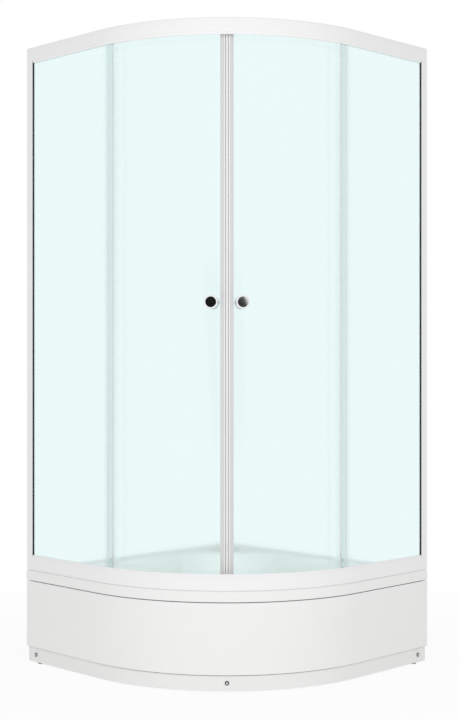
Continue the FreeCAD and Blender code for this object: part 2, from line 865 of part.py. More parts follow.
def make_rails():
    """Two alike rails, one under the ceiling side and one on the tray, as mirror images."""
    make_rail("top_rail", lambda rise: top_rail_low + rise)
    make_rail("bottom_rail", lambda rise: low_rail_top - rise)


def make_wall_profile():
    """The upright channel at the wall, with four fixing holes in its back."""
    wall = dims.rail_wall
    near, far = half - dims.rail_set, half - fin_back
    inner_near, inner_far = near - wall, far + wall
    mouth, back = half - dims.profile_width, half - wall
    points = [
        (near, half),
        (near, mouth),
        (inner_near, mouth),
        (inner_near, back),
        (inner_far, back),
        (inner_far, mouth),
        (far, mouth),
        (far, half),
    ]
    channel = prism("wall_channel", points, low_rail_top, top_rail_low)
    middle = rail_mirror / 2
    across = half - (glass_front + glass_back) / 2
    outer_spacing = top_rail_low - low_rail_top - dims.fixing_end_inset * 2
    holes = []
    for i, spacing in enumerate((outer_spacing, dims.fixing_inner_spacing)):
        for j, rise in enumerate((spacing / 2, -spacing / 2)):
            hole = stepped(f"fixing_{i}_{j}", [(ZERO, wall + dims.overrun * 2, dims.fixing_radius)])
            quarter = HALF_TURN / 2
            holes.append(place(hole, across, back - dims.overrun, middle + rise, quarter))
    for i, z in enumerate(key_screw_heights()):
        bore = dims.key_screw_radius + dims.run_gap
        hole = stepped(f"profile_key_hole_{i}", [(far - wall, inner_far + wall, bore)])
        holes.append(place(hole, ZERO, key_y(), z))
    both_sides("wall_profile", less("wall_profile", channel, holes))


def key_y():
    """The corner keys' middle, between the glass edge and the back of the channel."""
    return half - dims.rail_wall - dims.key_wall_inset * HALF_SHARE - dims.key_width / 2


def key_screw_heights():
    rise = dims.key_length / 2
    return low_rail_top + rise, top_rail_low - rise


def make_corner_keys():
    """A key in each corner joins a rail to a wall profile, with a screw from the inside."""
    keys, screws = [], []
    near, far = half - face_back - dims.fit_gap, half - fin_front + dims.fit_gap
    width = dims.key_width / 2
    grip = dims.pocket_depth - dims.rail_wall
    spans = (
        (low_rail_top - grip, low_rail_top + dims.key_length),
        (top_rail_low - dims.key_length, top_rail_low + grip),
    )
    for i, ((low, high), z) in enumerate(zip(spans, key_screw_heights())):
        key = block(f"key_{i}", (far, key_y() - width, low), (near, key_y() + width, high))
        bore_end = far + dims.key_screw_length
        bore = stepped(f"key_bore_{i}", [(far - dims.overrun, bore_end, dims.key_screw_radius)])
        key = less(f"key_{i}", key, [place(bore, ZERO, key_y(), z)])
        head_end = half - fin_back
        steps = [
            (head_end - dims.key_screw_head_depth, head_end, dims.key_screw_head_radius),
            (head_end, bore_end - dims.fit_gap, dims.key_screw_radius - dims.run_gap),
        ]
        screw = place(stepped(f"key_screw_{i}", steps), ZERO, key_y(), z)
        keys += [key, mirrored(f"other_key_{i}", key)]
        screws += [screw, mirrored(f"other_key_screw_{i}", screw)]
    finish("corner_keys", group("corner_keys", keys))
    finish("corner_screws", group("corner_screws", screws))


def make_fixed_panes():
    """The flat panes, the black gaskets at the walls, the gaskets in the rails and the overlap seals."""
    near, far = half - glass_front, half - glass_back
    rear = half - dims.glass_wall_inset
    free = centre_y - dims.glass_overlap
    pane = block("pane", (far, free, fixed_low), (near, rear, fixed_high))
    both_sides("fixed_glass", pane)
    mouth = half - dims.profile_width
    tip = mouth - dims.gasket_lip
    root_y = rear - dims.gasket_wall_inset
    lip = near + dims.gasket_lip_rise + (dims.glass_pocket - dims.glass_wall) / 2
    outer = half - face_back
    front_lip = [(near, tip), (lip, tip), (lip, mouth)]
    front_strip = [(near, root_y), *front_lip, (outer, mouth), (outer, root_y)]
    inner = half - fin_front
    inner_lip = far - (lip - near)
    back_lip = [(far, tip), (inner_lip, tip), (inner_lip, mouth)]
    back_strip = [(far, root_y), *back_lip, (inner, mouth), (inner, root_y)]
    strips = [
        prism("front_gasket", front_strip, low_rail_top, top_rail_low),
        prism("back_gasket", back_strip, low_rail_top, top_rail_low),
    ]
    both_sides("glazing_gasket", group("glazing_gasket", strips))
    both_sides("rail_gaskets", group("rail_gaskets", rail_gaskets(near, far, tip)))
    both_sides("fixed_seal", fixed_seal(near, far, free))


def rail_gaskets(near, far, end):
    """Channels round the pane's lower and upper edges, in the rails' glazing pockets."""
    wall = (dims.glass_pocket - dims.glass_wall) / 2
    pair = []
    for name, low, high in (
        ("low", fixed_low - dims.gasket_floor, fixed_low + dims.gasket_grip),
        ("high", fixed_high - dims.gasket_grip, fixed_high + dims.gasket_floor),
    ):
        bed = block(f"{name}_bed", (far - wall, centre_y, low), (near + wall, end, high))
        low_cut = fixed_low if name == "low" else low - dims.overrun
        high_cut = high + dims.overrun if name == "low" else fixed_high
        start, stop = centre_y - dims.overrun, end + dims.overrun
        slot = block(f"{name}_slot", (far, start, low_cut), (near, stop, high_cut))
        pair.append(less(f"{name}_bed", bed, [slot]))
    return pair


def fixed_seal(near, far, free):
    """A strip stuck to the pane's inner face, capping its free edge, with a fin towards the door."""
    gap = dims.run_gap
    back = far - gap - dims.seal_wall
    end = free + dims.seal_back
    nose = free - dims.seal_nose
    fin = half - dims.seal_reach
    points = [
        (near, nose),
        (near, free - gap),
        (far - gap, free - gap),
        (far - gap, end),
        (back, end),
        (back, nose + dims.seal_fin),
        (fin, nose + dims.seal_fin),
        (fin, nose),
    ]
    return prism("fixed_seal", points, low_rail_top + dims.fit_gap, top_rail_low - dims.fit_gap)


def make_stops():
    """Rubber blocks in the top rail: one ahead of each front roller and one behind each open rear roller."""
    low, high = track_top, track_top + dims.stop_height
    y = half - dims.open_stop_wall_inset
    far, near = half - track_end, half - fin_back
    open_stop = block("open_stop", (far, y, low), (near, y + dims.stop_length, high))
    gap = dims.curve_gap
    inner, outer = dims.corner_radius - track_end + gap, dims.corner_radius - fin_back - gap * 3
    start = -dims.wheel_radius - dims.fit_gap
    end = start - dims.stop_length
    points = [(inner, end), (outer, end), (outer, start), (inner, start)]
    closed_stop = at_angle(prism("closed_stop", points, low, high), dims.front_roller_angle, ZERO)
    stops = [open_stop, closed_stop]
    stops += [mirrored(f"other_stop_{i}", stop) for i, stop in enumerate(stops)]
    finish("door_stops", group("door_stops", stops))


def roller_spots():
    """Name, angle from the start of the arc and height of each of a door's four rollers."""
    angles = (("front", dims.front_roller_angle), ("rear", dims.rear_roller_angle))
    heights = (("top", top_wheel_z), ("bottom", low_wheel_z))
    return [(f"{where}_{end}", angle, z) for where, z in heights for end, angle in angles]


def at_angle(body, angle, z):
    return place_at_arc(body, z, -angle)


def make_door_glass():
    """The curved pane with a hole for each roller and one for the knobs."""
    trail = -DIAGONAL_TURN - trail_angle
    lead = dims.door_lead
    points = [
        (root(door_outer * door_outer - lead * lead), lead),
        (door_outer * cosine(trail), door_outer * sine(trail)),
        (door_inner * cosine(trail), door_inner * sine(trail)),
        (root(door_inner * door_inner - lead * lead), lead),
    ]
    pane = prism("door_pane", points, door_low, door_high, {0: (door_outer, 1), 2: (door_inner, -1)})
    place_at_arc(pane, ZERO, DIAGONAL_TURN)
    over = dims.overrun * 2
    holes = []
    for name, angle, z in roller_spots():
        hole = stepped(f"{name}_hole", [(door_inner - over, door_outer + over, dims.roller_hole_radius)])
        holes.append(at_angle(hole, angle, z))
    hole = stepped("knob_hole", [(door_inner - over, door_outer + over, dims.knob_hole_radius)])
    holes.append(at_angle(hole, dims.knob_angle, dims.knob_height))
    both_sides("door_glass", less("door_glass", pane, holes))


def make_magnet_seal():
    """The upright strip on the leading edge: the magnet's nose, a groove and a leg behind the glass."""
    gap = dims.curve_gap
    start, block_end = dims.magnet_gap, dims.magnet_gap + dims.magnet_width
    middle = (door_outer + door_inner) / 2
    front, back = middle + dims.magnet_depth / 2, middle - dims.magnet_depth / 2
    groove_start = start + dims.magnet_strip
    groove_end = groove_start + dims.magnet_groove
    groove_floor = front - dims.magnet_groove_depth
    web = dims.door_lead - gap
    leg = door_inner - gap * 2
    leg_back = leg - dims.seal_wall
    points = [
        (back, start),
        (front, start),
        (front, groove_start),
        (groove_floor, groove_start),
        (groove_floor, groove_end),
        (front, groove_end),
        (front, web),
        (leg, web),
        (leg, dims.magnet_clip),
        (leg_back, dims.magnet_clip),
        (leg_back, block_end),
        (back, block_end),
    ]
    seal = prism("magnet_seal", points, door_low, door_high)
    both_sides("magnet_seal", place_at_arc(seal, ZERO, DIAGONAL_TURN))


def make_rear_seal():
    """The clip on the trailing edge, with a fin that hooks behind the fixed pane's seal."""
    gap, wall = dims.fit_gap, dims.seal_wall
    back_gap = dims.curve_gap + gap
    out, inn = door_outer + gap, door_inner - back_gap
    nose = dims.seal_nose
    clip = -dims.seal_clip
    fin = dims.corner_radius - dims.rear_fin_reach
    points = [
        (inn - wall, clip),
        (inn, clip),
        (inn, gap),
        (out, gap),
        (out, clip),
        (fin, clip),
        (fin, clip + dims.seal_fin),
        (out + wall, clip + dims.seal_fin),
        (out + wall, nose),
        (inn - wall, nose),
    ]
    seal = prism("rear_seal", points, low_rail_top + gap, top_rail_low - gap)
    both_sides("rear_seal", at_angle(seal, trail_angle, ZERO))


def make_rollers():
    """Hangers and guides on the inside of each door, axles through the glass and wheels in the rails."""
    track = dims.corner_radius - wheel_set
    side = dims.wheel_width / 2
    tread, bore, bevel = dims.wheel_radius, dims.axle_radius + dims.run_gap, dims.wheel_chamfer
    wheel_outline = [
        (track - side, bore),
        (track + side, bore),
        (track + side, tread - bevel),
        (track + side - bevel, tread),
        (track - side + bevel, tread),
        (track - side, tread - bevel),
    ]
    collar = door_outer + dims.fit_gap
    collar_end = collar + dims.axle_collar_depth
    shoulder = track - side - dims.fit_gap
    tip = track + side + dims.fit_gap
    stem = door_inner - dims.axle_stem_grip
    steps = [
        (stem, collar, dims.axle_stem_radius),
        (collar, collar_end, dims.axle_collar_radius),
        (collar_end, shoulder, dims.axle_spacer_radius),
        (shoulder, tip, dims.axle_radius),
        (tip, tip + dims.axle_head_depth, dims.axle_head_radius),
    ]
    axles = []
    carriers = {"top": [], "bottom": []}
    for name, angle, z in roller_spots():
        wheel = at_angle(turned(f"{name}_wheel", wheel_outline), angle, z)
        both_sides(f"{name}_wheel", wheel)
        axles.append(at_angle(stepped(f"{name}_axle", steps), angle, z))
        where = name.split("_")[0]
        radius = dims.hanger_radius if where == "top" else dims.guide_radius
        carriers[where].append(at_angle(carrier(f"{name}_carrier", radius), angle, z))
    both_sides("roller_axles", group("roller_axles", axles))
    both_sides("top_hangers", group("top_hangers", carriers["top"]))
    both_sides("bottom_guides", group("bottom_guides", carriers["bottom"]))


def carrier(name, radius):
    """A round cap on the inside of the glass, which grips the axle's stem."""
    face = door_inner - dims.curve_gap
    back = face - dims.hanger_depth
    bore = dims.axle_stem_radius + dims.run_gap
    bottom = door_inner - dims.axle_stem_grip - dims.run_gap
    bevel = dims.hanger_chamfer
    points = [
        (back, ZERO),
        (back, radius - bevel),
        (back + bevel, radius),
        (face, radius),
        (face, bore),
        (bottom, bore),
        (bottom, ZERO),
    ]
    return turned(name, points)


def knob_outline(face, way):
    """Half section of a knob that stands off a face, outwards where way is 1 and inwards where it is -1."""
    bore = dims.knob_bolt_radius + dims.run_gap
    spots = (
        (ZERO, bore),
        (ZERO, dims.knob_flange_radius),
        (dims.knob_flange_depth, dims.knob_flange_radius),
        (dims.knob_flange_depth, dims.knob_neck_radius),
        (dims.knob_neck_end, dims.knob_neck_radius),
        (dims.knob_head_start, dims.knob_head_radius),
        (dims.knob_depth - (dims.knob_head_radius - dims.knob_face_radius) / 2, dims.knob_head_radius),
        (dims.knob_depth, dims.knob_face_radius),
        (dims.knob_depth, ZERO),
        (dims.knob_bolt_grip, ZERO),
        (dims.knob_bolt_grip, bore),
    )
    return [(face + along * way, radius) for along, radius in spots]


def make_knobs():
    """A chrome knob on each face of the glass, with washers and a bolt right through."""
    washer, gap = dims.knob_washer_depth, dims.fit_gap
    out = door_outer + gap * HALF_SHARE
    inn = door_inner - gap
    hole = dims.knob_bolt_radius + dims.run_gap
    spot = (dims.knob_angle, dims.knob_height)
    knob = at_angle(turned("knob", knob_outline(out + washer, 1)), *spot)
    both_sides("knob", knob)
    inner = at_angle(turned("inner_knob", knob_outline(inn - washer, -1)), *spot)
    both_sides("inner_knob", inner)
    washers = []
    for name, start in (("out", out), ("in", inn - washer)):
        rim = dims.knob_washer_radius
        ring = [(start, hole), (start + washer, hole), (start + washer, rim), (start, rim)]
        washers.append(at_angle(turned(f"{name}_washer", ring), *spot))
    both_sides("knob_washers", group("knob_washers", washers))
    grip = dims.knob_bolt_grip - gap
    bolt = stepped("knob_bolt", [(inn - washer - grip, out + washer + grip, dims.knob_bolt_radius)])
    both_sides("knob_bolt", at_angle(bolt, *spot))


def check_model():
    """Stops where anything failed to compute, or a sub-part's shape is missing or not valid."""
    doc.recompute()
    failed = [item.Name for item in doc.Objects if {"Invalid", "Error"} & set(item.State)]
    bad = [label for label, item in nodes.items() if item.Shape.isNull() or not item.Shape.isValid()]
    if failed or bad:
        raise RuntimeError(f"failed objects {failed}, bad shapes {bad}")


def write_parts():
    os.makedirs("parts", exist_ok=True)
    for label, item in nodes.items():
        item.Shape.exportStep(f"parts/{label}.step")


fill_sheet()
make_tray()
make_apron()
make_kickboard()
make_brackets()
make_support()
make_legs()
make_waste()
make_rails()
make_wall_profile()
make_corner_keys()
make_fixed_panes()
make_stops()
make_door_glass()
make_magnet_seal()
make_rear_seal()
make_rollers()
make_knobs()
check_model()
write_parts()
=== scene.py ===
import json
import math

import bmesh
import bpy
import numpy as np
from bpy.props import FloatProperty, IntProperty, PointerProperty, StringProperty
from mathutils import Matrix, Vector

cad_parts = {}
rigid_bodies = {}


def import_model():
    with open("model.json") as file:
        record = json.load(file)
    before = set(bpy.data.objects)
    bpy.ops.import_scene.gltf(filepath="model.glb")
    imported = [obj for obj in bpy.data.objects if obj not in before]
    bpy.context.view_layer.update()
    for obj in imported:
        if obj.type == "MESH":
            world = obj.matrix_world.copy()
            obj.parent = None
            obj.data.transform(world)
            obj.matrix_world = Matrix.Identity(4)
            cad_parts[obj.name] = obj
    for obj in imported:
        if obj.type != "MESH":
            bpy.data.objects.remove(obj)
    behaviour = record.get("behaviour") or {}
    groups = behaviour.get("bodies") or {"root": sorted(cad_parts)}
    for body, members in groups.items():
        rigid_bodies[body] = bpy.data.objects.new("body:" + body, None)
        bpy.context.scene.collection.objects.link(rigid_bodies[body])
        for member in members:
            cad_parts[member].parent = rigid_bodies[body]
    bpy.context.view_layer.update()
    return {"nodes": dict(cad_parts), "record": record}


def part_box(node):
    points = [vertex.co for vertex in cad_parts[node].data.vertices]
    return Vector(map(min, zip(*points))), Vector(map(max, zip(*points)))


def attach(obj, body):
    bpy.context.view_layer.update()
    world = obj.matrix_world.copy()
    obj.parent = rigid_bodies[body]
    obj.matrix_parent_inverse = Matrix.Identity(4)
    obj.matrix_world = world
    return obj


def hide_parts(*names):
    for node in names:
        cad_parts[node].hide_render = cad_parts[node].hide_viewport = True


for default_object in list(bpy.data.objects):
    bpy.data.objects.remove(default_object)
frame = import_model()

bl_info = {
    "name": "Corner shower enclosure",
    "version": (1, 0, 0),
    "blender": (4, 5, 0),
    "location": "3D View > Sidebar > Shower",
    "description": "Dresses a quarter round shower enclosure on its deep tray",
    "category": "Object",
}

MM = 0.001
QUARTER = math.pi / 2
BODY = "enclosure"
SIDES = ("right", "left")
SEE_THROUGH = ("frosted_glass", "clear_vinyl")

# The plan, read from the frame: the walls are at x = -HALF and y = +HALF, and the front is a quarter
# round about (-ARC_OFFSET, ARC_OFFSET). The rail gaskets begin where the straight meets the arc. The
# rails stand RAIL_SET back from the tray's edge, and the doors meet on the diagonal.
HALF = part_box("shower_tray")[1].x
ARC_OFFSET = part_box("right_rail_gaskets")[0].y
ARC_CENTRE = np.array([-ARC_OFFSET, ARC_OFFSET])
ARC_RADIUS = HALF + ARC_OFFSET
RAIL_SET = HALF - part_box("top_rail")[1].x
RAIL_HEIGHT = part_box("top_rail")[1].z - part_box("top_rail")[0].z
PANE_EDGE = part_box("right_fixed_glass")[0]
OVERLAP_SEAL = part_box("right_fixed_seal")
DIAGONAL = np.array([1, -1]) * math.sqrt(0.5)
ACROSS = np.array([1, 1]) * math.sqrt(0.5)
WING_END = 28 * MM  # the leading seals' grey vinyl ends here, measured from the diagonal

# Meshes
WELD = 1e-6  # points closer than this become one
SHARP_EDGE = math.radians(35)  # an edge that bends more isn't shaded smooth
LONGEST_CUT = 0.45  # the most of a side that a rounded corner takes
CORE_GAP = 0.5  # from a seal's core to the pane's edge, as a share of the core's thickness
KNOB_ROUND, KNOB_STEPS = 0.6 * MM, 5  # how far a knob's corners are rounded, and in how many steps
FACE_RING = 1 * MM  # from a knob's rim to the ring that keeps its face flat

# Screw heads and their cross recess, as shares of the head's radius. The recess's depth is a share of
# the head's rise, and the washer begins at a share of the head's radius.
SCREW_RINGS, SCREW_STEPS = 24, 72
ARM_WIDTH, ARM_EDGE = 0.16, 0.05
ARM_LENGTH, ARM_END = 0.62, 0.08
RECESS_DEPTH = 0.64
WASHER_START, WASHER_STEPS = 0.8, 12

# Stage, in metres; the lens and its sensor in millimetres
FLOOR_REACH = 12
FLOOR_WHITE = 0.92  # how white the floor looks beside the object
FLOOR_FADE = (0.7, 2.0)  # it turns quite white between these distances
FLOOR_GLOW = 0.6  # its own light on the object
WORLD_LIGHT = 0.6  # the world's light on the object
CLOTH_PLACE = (3.64, -3.76, 1.0)
CLOTH_HALVES = ((0.873, 0.873, 0), (-0.212, -0.212, 0.6))  # half its width and half its height
CAMERA_PLACE = (3.0675, -3.0675, 0.970)
LENS, SENSOR = 68.3, 36
FRAME_SHIFT = (0.0035, -0.0039)
# Lamps: name, place, target, side of the square, watts, degrees of its beam
LAMPS = (
    ("front_softbox", (2.6, -2.6, 1.6), (0, 0, 0.9), 1.6, 40.5, 180),
    ("left_basin_light", (0.2, -0.1, 0.36), (-0.45, -0.1, 0.26), 0.25, 0.28, 100),
    ("back_basin_light", (0.1, -0.2, 0.36), (0.1, 0.45, 0.26), 0.25, 0.28, 100),
    ("seat_light", (0.1, -0.1, 0.2), (-0.2, 0.2, 0.22), 0.12, 0.045, 60),
)


class ShowerSizes(bpy.types.PropertyGroup):
    """Sizes of the trim that is finer than the solids."""

    edge_round: FloatProperty(
        name="Rail edge round",
        description="How far the rails' outer edges are rounded",
        default=3 * MM,
        unit="LENGTH",
    )
    lip_round: FloatProperty(
        name="Rail lip round",
        description="How far the rails' small edges are rounded",
        default=0.7 * MM,
        unit="LENGTH",
    )
    wall: FloatProperty(
        name="Extrusion wall",
        description="Wall of the rails",
        default=1.6 * MM,
        unit="LENGTH",
    )
    pocket: FloatProperty(
        name="Glazing pocket",
        description="Width of the rails' pocket for the fixed panes",
        default=8 * MM,
        unit="LENGTH",
    )
    pocket_depth: FloatProperty(
        name="Pocket depth",
        description="Depth of the glazing pocket",
        default=18 * MM,
        unit="LENGTH",
    )
    track: FloatProperty(
        name="Track width",
        description="Width of the wheels' track inside a rail",
        default=23 * MM,
        unit="LENGTH",
    )
    track_lift: FloatProperty(
        name="Track lift",
        description="Height of the track over the rail's edge",
        default=8 * MM,
        unit="LENGTH",
    )
    track_lip: FloatProperty(
        name="Track lip",
        description="Height of the lip that keeps the wheels on the track",
        default=4 * MM,
        unit="LENGTH",
    )
    arc_steps: IntProperty(
        name="Arc steps",
        description="Divisions of the quarter round",
        default=72,
    )
    infill_angle: FloatProperty(
        name="Infill start",
        description="Angle on the quarter round where the pocket's infill begins",
        default=math.radians(5.5),
        subtype="ANGLE",
    )
    cover_rise: FloatProperty(
        name="Cover rise",
        description="Height of the cover strip on each rail's front edge",
        default=7 * MM,
        unit="LENGTH",
    )
    cover_lean: FloatProperty(
        name="Cover lean",
        description="How far the cover strip leans back at its edge",
        default=1.2 * MM,
        unit="LENGTH",
    )
    knob_angle: FloatProperty(
        name="Knob angle",
        description="Angle of the right knob from the start of the quarter round",
        default=math.radians(40),
        subtype="ANGLE",
    )
    knob_depth: FloatProperty(
        name="Knob depth",
        description="How far a knob stands off its washer",
        default=37 * MM,
        unit="LENGTH",
    )
    knob_face: FloatProperty(
        name="Knob face",
        description="Radius of a knob's flat face",
        default=16.2 * MM,
        unit="LENGTH",
    )
    groove_depth: FloatProperty(
        name="Groove depth",
        description="Depth of the groove in a door's leading seal",
        default=5 * MM,
        unit="LENGTH",
    )
    groove_place: FloatProperty(
        name="Groove place",
        description="Distance of the groove's middle from the doors' meeting line",
        default=3.6 * MM,
        unit="LENGTH",
    )
    magnet_width: FloatProperty(
        name="Magnet width",
        description="Width of the magnetic strip that shows in the groove",
        default=1.5 * MM,
        unit="LENGTH",
    )
    magnet_rise: FloatProperty(
        name="Magnet rise",
        description="How far the magnetic strip stands in the groove",
        default=3.4 * MM,
        unit="LENGTH",
    )
    wing_start: FloatProperty(
        name="Wing start",
        description="Distance of the leading seal's grey wing from the meeting line",
        default=7.8 * MM,
        unit="LENGTH",
    )
    wing_step: FloatProperty(
        name="Wing step",
        description="Distance from the meeting line where the wing falls to the glass",
        default=10.1 * MM,
        unit="LENGTH",
    )
    wing_drop: FloatProperty(
        name="Wing drop",
        description="How far the wing's tip lies behind the seal's face",
        default=3.4 * MM,
        unit="LENGTH",
    )
    wing_rise: FloatProperty(
        name="Wing rise",
        description="Thickness of the wing",
        default=0.6 * MM,
        unit="LENGTH",
    )
    gasket_lip: FloatProperty(
        name="Gasket lip",
        description="How far the wall gaskets' lips stand out of the profiles",
        default=1.4 * MM,
        unit="LENGTH",
    )
    core_wall: FloatProperty(
        name="Seal core",
        description="Thickness of the tinted core in the overlap seals",
        default=0.5 * MM,
        unit="LENGTH",
    )
    screw_radius: FloatProperty(
        name="Screw head radius",
        description="Radius of the kickboard's screw heads",
        default=3.6 * MM,
        unit="LENGTH",
    )
    screw_rise: FloatProperty(
        name="Screw head rise",
        description="Height of the kickboard's screw heads",
        default=2.2 * MM,
        unit="LENGTH",
    )
    washer_radius: FloatProperty(
        name="Washer radius",
        description="Outer radius of the rubber washers under the screw heads",
        default=6.3 * MM,
        unit="LENGTH",
    )
    washer_rise: FloatProperty(
        name="Washer rise",
        description="Height of the rubber washers",
        default=1.4 * MM,
        unit="LENGTH",
    )
    # Painted shadow: the strip sized below is dark and stands in for the apron's shadow on the
    # kickboard.
    painted_shadow_height: FloatProperty(
        name="Joint height",
        description="Height of the joint strip between apron and kickboard",
        default=3 * MM,
        unit="LENGTH",
    )
    painted_shadow_rise: FloatProperty(
        name="Joint rise",
        description="Thickness of the joint strip",
        default=1 * MM,
        unit="LENGTH",
    )


class ShowerColours(bpy.types.PropertyGroup):
    """Colours of the finishes, as sRGB hex values."""

    acrylic: StringProperty(name="Acrylic", description="Tray and apron", default="#F0F0EF")
    plastic: StringProperty(
        name="Plastic", description="Kickboard and hidden mouldings", default="#ECECEB"
    )
    coating: StringProperty(
        name="Coating", description="Powder coat of rails and profiles", default="#F1F1F1"
    )
    glass: StringProperty(name="Glass", description="Tint of the frosted glass", default="#EBFBFA")
    rubber: StringProperty(
        name="Rubber", description="Gaskets, stops and magnetic strips", default="#1E1F20"
    )
    vinyl: StringProperty(name="Vinyl", description="Door seals and gaskets", default="#F2F2F1")
    wing: StringProperty(name="Grey vinyl", description="Wings of the leading seals", default="#D3D3D3")
    core: StringProperty(
        name="Tinted vinyl", description="Cores of the overlap seals", default="#F2FBFA"
    )
    # The milky root is the seal's own colour. The grey-mint fin colour is painted shade in the band
    # where the panes overlap.
    milky: StringProperty(name="Milky vinyl", description="Root of the overlap seals", default="#EAEDEC")
    fin: StringProperty(name="Seal fin", description="Fin of the overlap seals", default="#D3E6E5")
    clear: StringProperty(name="Clear vinyl", description="Tips of the overlap seals", default="#FEFEFE")
    chrome: StringProperty(name="Chrome", description="Knobs, screws and waste", default="#F0F1F2")
    zinc: StringProperty(name="Zinc", description="Support bars and fixings", default="#B4B7B9")
    black: StringProperty(name="Black plastic", description="Feet and studio cloth", default="#232425")
    nylon: StringProperty(name="Nylon", description="Wheels and hangers", default="#E8E7E2")
    floor: StringProperty(name="Floor", description="Studio floor", default="#F4F4F4")


def sizes():
    """The trim's sizes, in metres."""
    return bpy.context.scene.shower_sizes


def colour(name):
    """A finish's hex colour as linear RGBA."""
    return linear(getattr(bpy.context.scene.shower_colours, name))


def linear(code):
    """An sRGB hex value as linear RGBA, by the sRGB transfer curve."""
    parts = [int(code[i : i + 2], 16) / 255 for i in (1, 3, 5)]
    return [c / 12.92 if c <= 0.04045 else ((c + 0.055) / 1.055) ** 2.4 for c in parts] + [1.0]


# Materials


def add_node(tree, kind, inputs=None, **settings):
    """Adds a node with its settings; an input is either a value or the socket that feeds it."""
    node = tree.nodes.new(kind)
    for key, value in settings.items():
        setattr(node, key, value)
    for socket, value in (inputs or {}).items():
        if isinstance(value, bpy.types.NodeSocket):
            tree.links.new(value, node.inputs[socket])
        else:
            node.inputs[socket].default_value = value
    return node


def start_material(name):
    """An empty node tree with the object's own coordinates, in metres."""
    material = bpy.data.materials.new(name)
    material.use_nodes = True
    tree = material.node_tree
    tree.nodes.clear()
    return material, tree, add_node(tree, "ShaderNodeTexCoord").outputs["Object"]


def finish_material(tree, inputs):
    """Ends a node tree with one Principled surface."""
    surface = add_node(tree, "ShaderNodeBsdfPrincipled", inputs)
    add_node(tree, "ShaderNodeOutputMaterial", {"Surface": surface.outputs["BSDF"]})


def darker(base, share):
    """A linear colour with a share of its light taken off."""
    return [c * (1 - share) for c in base[:3]] + [1.0]


def mottled(tree, where, name, size, depth):
    """The finish's colour, a little darker in soft patches as large as size."""
    base = colour(name)
    noise = add_node(tree, "ShaderNodeTexNoise", {"Vector": where, "Scale": 1 / size, "Detail": 3})
    mix = {0: noise.outputs["Fac"], 6: base, 7: darker(base, depth)}
    return add_node(tree, "ShaderNodeMix", mix, data_type="RGBA").outputs[2]


def grain(tree, where, size, height, stretch=(1, 1, 1)):
    """A bump of fine noise: size is the grain's width, height its depth."""
    spread = add_node(tree, "ShaderNodeMapping", {"Vector": where, "Scale": stretch})
    noise = {"Vector": spread.outputs["Vector"], "Scale": 1 / size, "Detail": 2}
    fac = add_node(tree, "ShaderNodeTexNoise", noise).outputs["Fac"]
    bump = {"Height": fac, "Distance": height, "Strength": 1.0}
    return add_node(tree, "ShaderNodeBump", bump).outputs["Normal"]


def uneven(tree, where, size, low, high):
    """A roughness that wanders between two values in patches as large as size."""
    noise = add_node(tree, "ShaderNodeTexNoise", {"Vector": where, "Scale": 1 / size, "Detail": 3})
    span = {"Value": noise.outputs["Fac"], "To Min": low, "To Max": high}
    return add_node(tree, "ShaderNodeMapRange", span).outputs["Result"]


def vacuum_formed_acrylic():
    """Cast acrylic sheet, vacuum formed: glossy, with the faint orange peel of the forming."""
    material, tree, where = start_material("vacuum_formed_acrylic")
    finish_material(tree, {
        "Base Color": mottled(tree, where, "acrylic", 250 * MM, 0.015),
        "Roughness": uneven(tree, where, 60 * MM, 0.2, 0.28),
        "IOR": 1.49,
        "Normal": grain(tree, where, 9 * MM, 0.02 * MM),
    })
    return material


def moulded_plastic():
    """Injection moulded plastic with a satin spark eroded skin. Its grain is drawn coarser than the real
    one, so that it shows."""
    material, tree, where = start_material("moulded_plastic")
    finish_material(tree, {
        "Base Color": mottled(tree, where, "plastic", 200 * MM, 0.02),
        "Roughness": uneven(tree, where, 50 * MM, 0.32, 0.42),
        "IOR": 1.5,
        "Normal": grain(tree, where, 2.5 * MM, 0.02 * MM),
    })
    return material


def powder_coated_aluminium():
    """Extruded aluminium under gloss white powder: a slight ripple where the powder flowed."""
    material, tree, where = start_material("powder_coated_aluminium")
    finish_material(tree, {
        "Base Color": mottled(tree, where, "coating", 300 * MM, 0.006),
        "Roughness": uneven(tree, where, 80 * MM, 0.27, 0.31),
        "IOR": 1.5,
        "Normal": grain(tree, where, 5 * MM, 0.015 * MM),
    })
    return material


def satin_etched_glass():
    """Toughened glass with an acid etched face: it lets light through and blurs what is behind it."""
    material, tree, where = start_material("satin_etched_glass")
    finish_material(tree, {
        "Base Color": mottled(tree, where, "glass", 400 * MM, 0.01),
        "Roughness": 0.1,
        "IOR": 1.4,
        "Transmission Weight": 1.0,
    })
    return material


def extruded_rubber():
    """Black rubber, extruded: matt, with fine lines along its length."""
    material, tree, where = start_material("extruded_rubber")
    finish_material(tree, {
        "Base Color": mottled(tree, where, "rubber", 30 * MM, 0.25),
        "Roughness": uneven(tree, where, 20 * MM, 0.5, 0.65),
        "IOR": 1.52,
        "Normal": grain(tree, where, 1.5 * MM, 0.05 * MM, (1, 1, 0.05)),
    })
    return material


